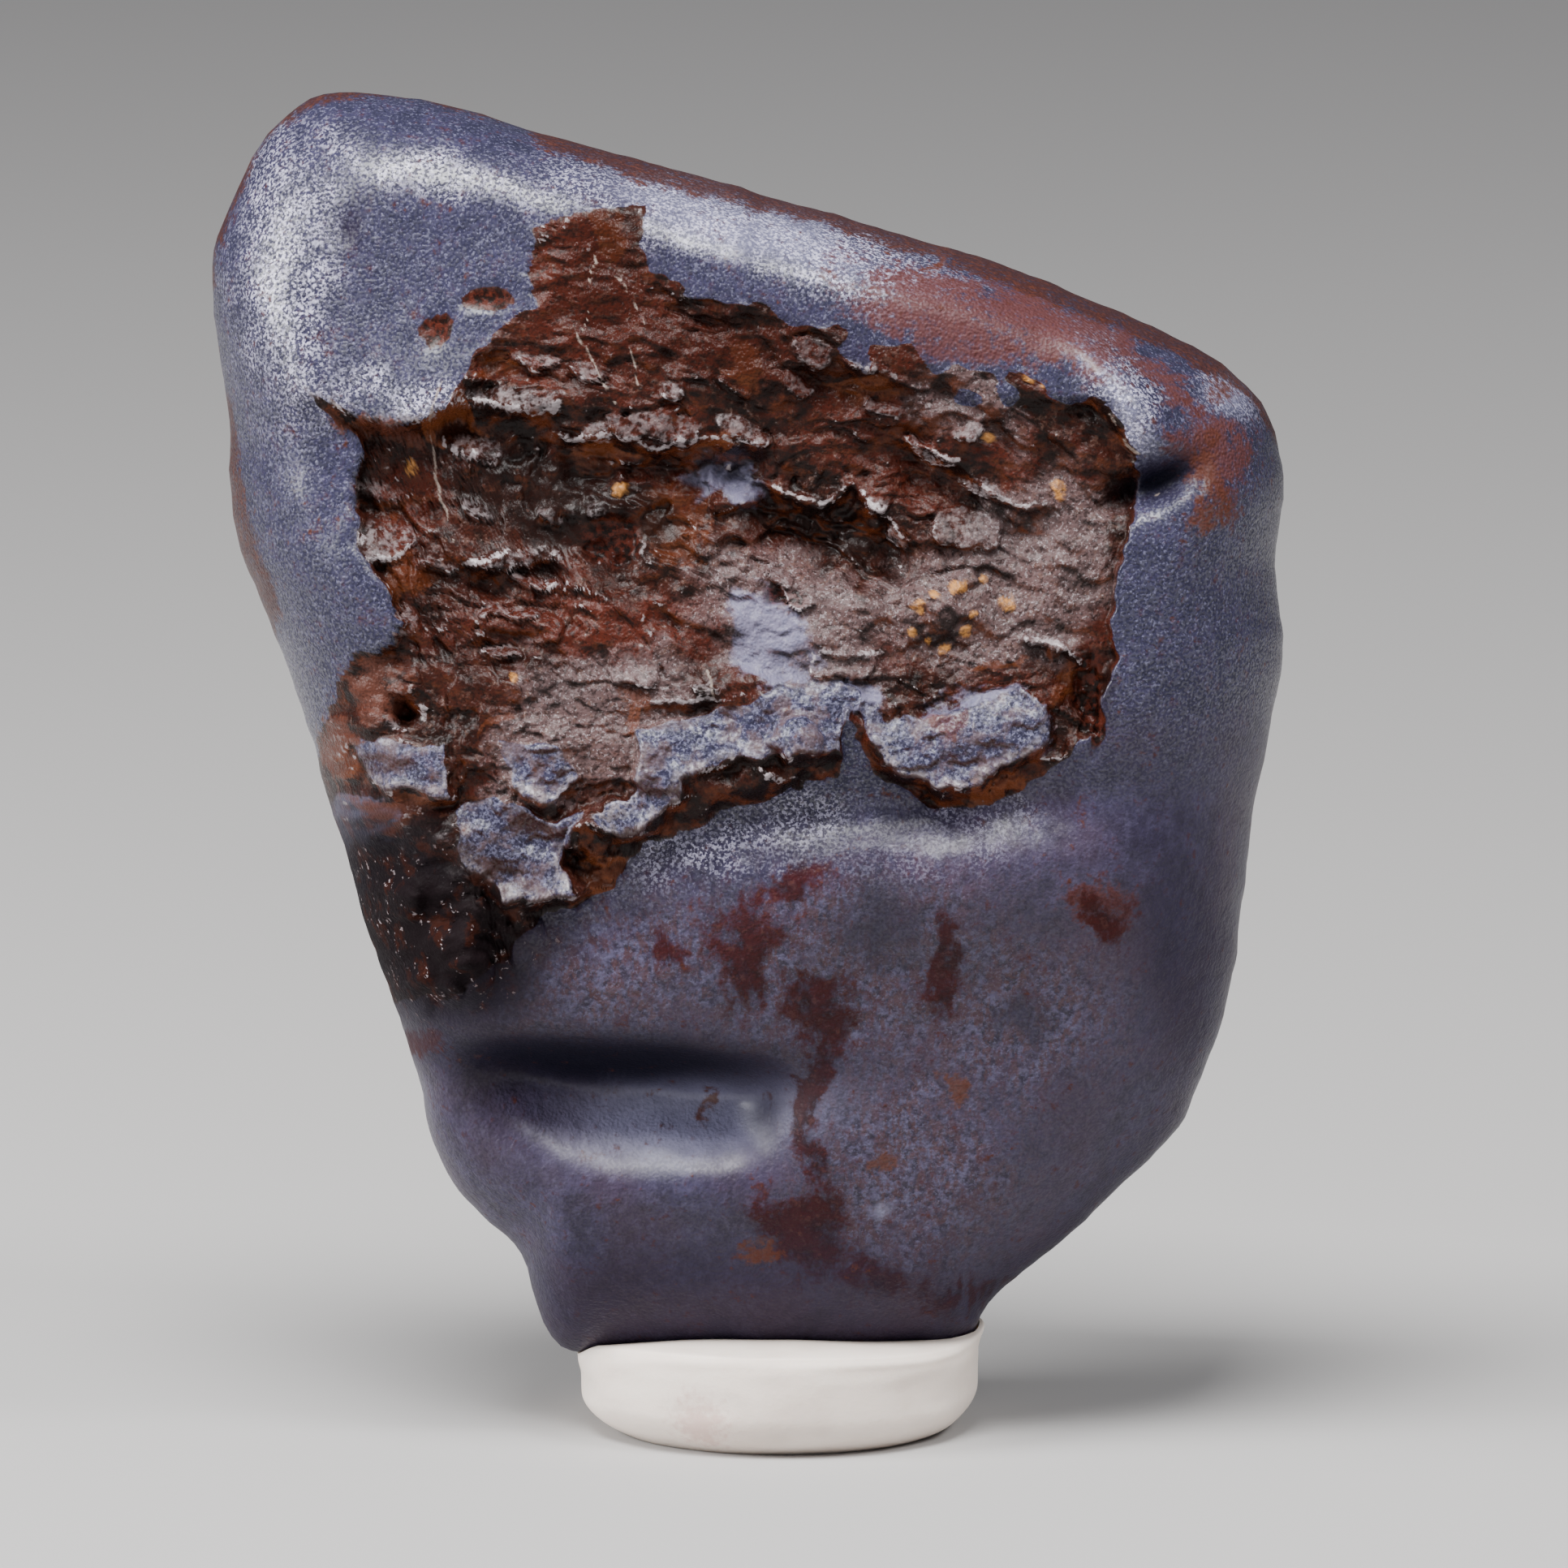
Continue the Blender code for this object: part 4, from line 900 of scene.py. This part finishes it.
    # a polish that comes and goes in specks: most on the enamel, and on the dentine's lips alone
    sparkle = place.noise(0.045, 0.0)
    specked = sparkle.ramp(0.44, 0.58)
    polish = (0.15 + specked * (0.55 + marks["painted_glare_and_wear"] * 0.3)) * (1 - marks["rim"] * 0.7)
    polish = polish + marks["root"] * (0.25 + specked * 0.15 - polish)
    polish = polish * (1 - stain * 0.8) * (1 - browned * 0.75)
    polish = polish + marks["painted_sheen_and_pale_tone"] * (1 - polish) * 0.4
    glints = lips * 0.6 + marks["painted_tread_highlight"] * shown * 0.15 + paintedGlintSpecks * 0.8
    polish = polish + marks["dentine"] * (1 - marks["plate"] * 0.6) * (0.1 + glints - polish)
    enamelGrain = sparkle * (1.7 - marks["root"] * 0.9) + small * (0.5 + marks["root"])
    enamelGrain = enamelGrain + middle * marks["root"] * 3.0
    dentineGrain = small * 1.5 + sparkle * (1.3 - marks["dark"]) * (1 - marks["pit"]) + middle * 1.5
    height = enamelGrain + marks["dentine"] * (dentineGrain - enamelGrain)
    plug(shader, {
        "Base Color": colour,
        "Roughness": rough + marks["dentine"] * (other - 0.4) * 0.5 + marks["shadow"] * 0.4,
        "Specular IOR Level": 0.06,
        "Coat Weight": polish * (1 - marks["shadow"] * (1 - glints)) * (1 - marks["painted_shade_and_dark_tone"] * 0.7),
        "Coat Roughness": look["polishRoughness"],
        "Coat IOR": look["polishIndex"],
        "Normal": height.bump(0.8, 0.018),
    })
    return made


puttyForm = {
    "height": 1.5, "radii": (2.85, 2.75), "middle": (0.37, 0.1), "baseShare": 0.7,
    "squareBelow": 0.38, "squareAbove": 0.985,
    "leftDrop": 0.24, "rightSag": 0.15, "rightCorner": 0.17, "flare": 0.045,
    "segments": 160, "rings": 80,
    "contact": 0.03, "stubTop": 3.5,
}


def cutOff(bm, height, side, near):  # takes away what lies beyond a level plane, gives the cut's edges
    cut = bmesh.ops.bisect_plane(
        bm, geom=bm.verts[:] + bm.edges[:] + bm.faces[:], dist=near,
        plane_co=(0, 0, height), plane_no=(0, 0, side), clear_outer=True,
    )
    return [item for item in cut["geom_cut"] if isinstance(item, bmesh.types.BMEdge)]


def makePutty(tooth, shift):
    form = puttyForm
    bm = bmesh.new()
    bmesh.ops.create_uvsphere(bm, u_segments=form["segments"], v_segments=form["rings"], radius=1.0)
    bmesh.ops.contextual_create(bm, geom=cutOff(bm, -form["baseShare"], -1, 1e-5))
    toHeight = form["height"] / (1 + form["baseShare"])
    for vert in bm.verts:
        x, y, z = vert.co
        ring = math.hypot(x, y)
        power = form["squareAbove"] if z > 0 else form["squareBelow"]
        wide = ring**-power if ring > 1e-6 else 1.0
        wide *= 1 + 0.04 * noise.noise(Vector((1.4 * x, 1.4 * y, 0.4 * z + 5.0)))
        wide *= 1 + 0.01 * noise.noise(Vector((3.5 * x, 3.5 * y, 2.0 * z)))
        right, left = max(0.0, wide * x), max(0.0, -wide * x)
        wide *= 1 + form["flare"] * right**2 * max(0.0, z + 0.3) ** 2
        rise = (z + form["baseShare"]) * toHeight
        rise *= 1 + form["rightCorner"] * right**8 - form["rightSag"] * right**2 - form["leftDrop"] * left**6
        vert.co = Vector((
            form["middle"][0] + form["radii"][0] * wide * x + shift[0],
            form["middle"][1] + form["radii"][1] * wide * y + shift[1],
            rise,
        )) * mm
    bmesh.ops.recalc_face_normals(bm, faces=bm.faces[:])
    putty = meshObject("putty_lump", bm)
    grown = bmesh.new()
    grown.from_mesh(tooth.data)
    cutOff(grown, form["stubTop"] * mm, 1, 1e-9)
    bmesh.ops.holes_fill(grown, edges=[edge for edge in grown.edges if edge.is_boundary])
    grown.normal_update()
    for vert in grown.verts:
        vert.co += vert.normal * form["contact"] * mm
    cutter = meshObject("stub_cutter", grown)
    socket = putty.modifiers.new("socket", "BOOLEAN")
    socket.operation = "DIFFERENCE"
    socket.solver = "EXACT"
    socket.object = cutter
    graph = bpy.context.evaluated_depsgraph_get()
    cutMesh = bpy.data.meshes.new_from_object(putty.evaluated_get(graph))
    putty.modifiers.clear()
    putty.data = cutMesh
    cutMesh.name = "putty_lump"
    bpy.data.objects.remove(cutter)
    cutMesh.shade_smooth()
    cutMesh.set_sharp_from_angle(angle=math.radians(50))
    return putty


puttyLook = {
    "cream": (0.82, 0.72, 0.64),
    "shade": (0.68, 0.57, 0.5),
    "pink": (0.55, 0.34, 0.3),
    "stainAt": (-0.7, -2.9, 0.5),  # mm
}


def puttyMaterial():
    made, shader, place = newMaterial("white_mounting_putty")
    look = puttyLook
    soft = place.noise(0.9, 3.0)
    fine = place.noise(0.12, 3.0, 0.6)
    away = place.vector("DISTANCE", {0: place, 1: look["stainAt"]}, 1)
    stain = (1 - away * 1.1 + (fine - 0.5) * 1.2).ramp(0.3, 0.9)
    plug(shader, {
        "Base Color": place.layered(
            look, "cream", (soft.ramp(0.42, 0.7) * 0.5, "shade"), (stain * 0.6, "pink"),
        ),
        "Roughness": 0.62 + fine * 0.2,
        "Subsurface Weight": 0.15,
        "Subsurface Radius": (1.0, 0.8, 0.6),
        "Subsurface Scale": 0.3 * mm,
        "Normal": (fine + soft * 1.5).bump(0.5, 0.015),
    })
    return made


studio = {
    "frameWidth": 22.41,       # mm across the picture at the tooth
    "frameMiddle": (0.476, -0.998),  # the picture's middle in the view's u, v
    "lens": 500.0,
    "sensor": 36.0,
    "floorColour": (0.4, 0.39, 0.385),
    "worldColour": (0.85, 0.88, 1.0),
    "worldStrength": 0.12,
    "lights": [  # name, place in mm, width in mm, watts
        ("top", (-15, -60, 136), 60, 0.46),
        ("left", (-130, -38, 68), 60, 0.36),
        ("right", (90, -60, 104), 35, 0.12),
        ("front", (60, -160, 60), 200, 0.05),
    ],
}


def setStage(shift):
    bm = bmesh.new()
    bmesh.ops.create_grid(bm, x_segments=1, y_segments=1, size=1.5)
    floor = meshObject("floor", bm)
    made, shader, _ = newMaterial("pale_floor")
    plug(shader, {"Base Color": (*studio["floorColour"], 1.0), "Roughness": 0.8})
    floor.data.materials.append(made)
    middle = upright() @ Vector((studio["frameMiddle"][0], 0, studio["frameMiddle"][1])) + Vector(shift)
    back = upright() @ Vector((0, -1, 0))
    far = studio["frameWidth"] * studio["lens"] / studio["sensor"]
    data = bpy.data.cameras.new("camera")
    data.lens = studio["lens"]
    data.sensor_width = studio["sensor"]
    data.clip_start = 0.001
    camera = newObject("camera", data)
    camera.location = (middle + back * far) * mm
    camera.rotation_euler = (-back).to_track_quat("-Z", "Y").to_euler()
    bpy.context.scene.camera = camera
    for name, place, size, watts in studio["lights"]:
        lamp = bpy.data.lights.new(name, "AREA")
        lamp.size = size * mm
        lamp.energy = watts
        obj = newObject(name, lamp)
        obj.location = Vector(place) * mm
        obj.rotation_euler = (Vector((0, 0, 10)) - Vector(place)).to_track_quat("-Z", "Y").to_euler()
    world = bpy.data.worlds.new("soft_studio")
    world.use_nodes = True
    plug(world.node_tree.nodes["Background"],
         {"Color": (*studio["worldColour"], 1.0), "Strength": studio["worldStrength"]})
    bpy.context.scene.world = world


tooth, shift = makeTooth()
tooth.data.materials.append(toothMaterial())
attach(tooth, "root")
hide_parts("tooth")
print("tooth made:", len(tooth.data.vertices), "vertices,", len(tooth.data.polygons), "faces")

putty = makePutty(tooth, shift)
putty.data.materials.clear()
putty.data.materials.append(puttyMaterial())
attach(putty, "root")
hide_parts("mounting_putty")
print("putty made:", len(putty.data.vertices), "vertices")

setStage(shift)
print("stage set")
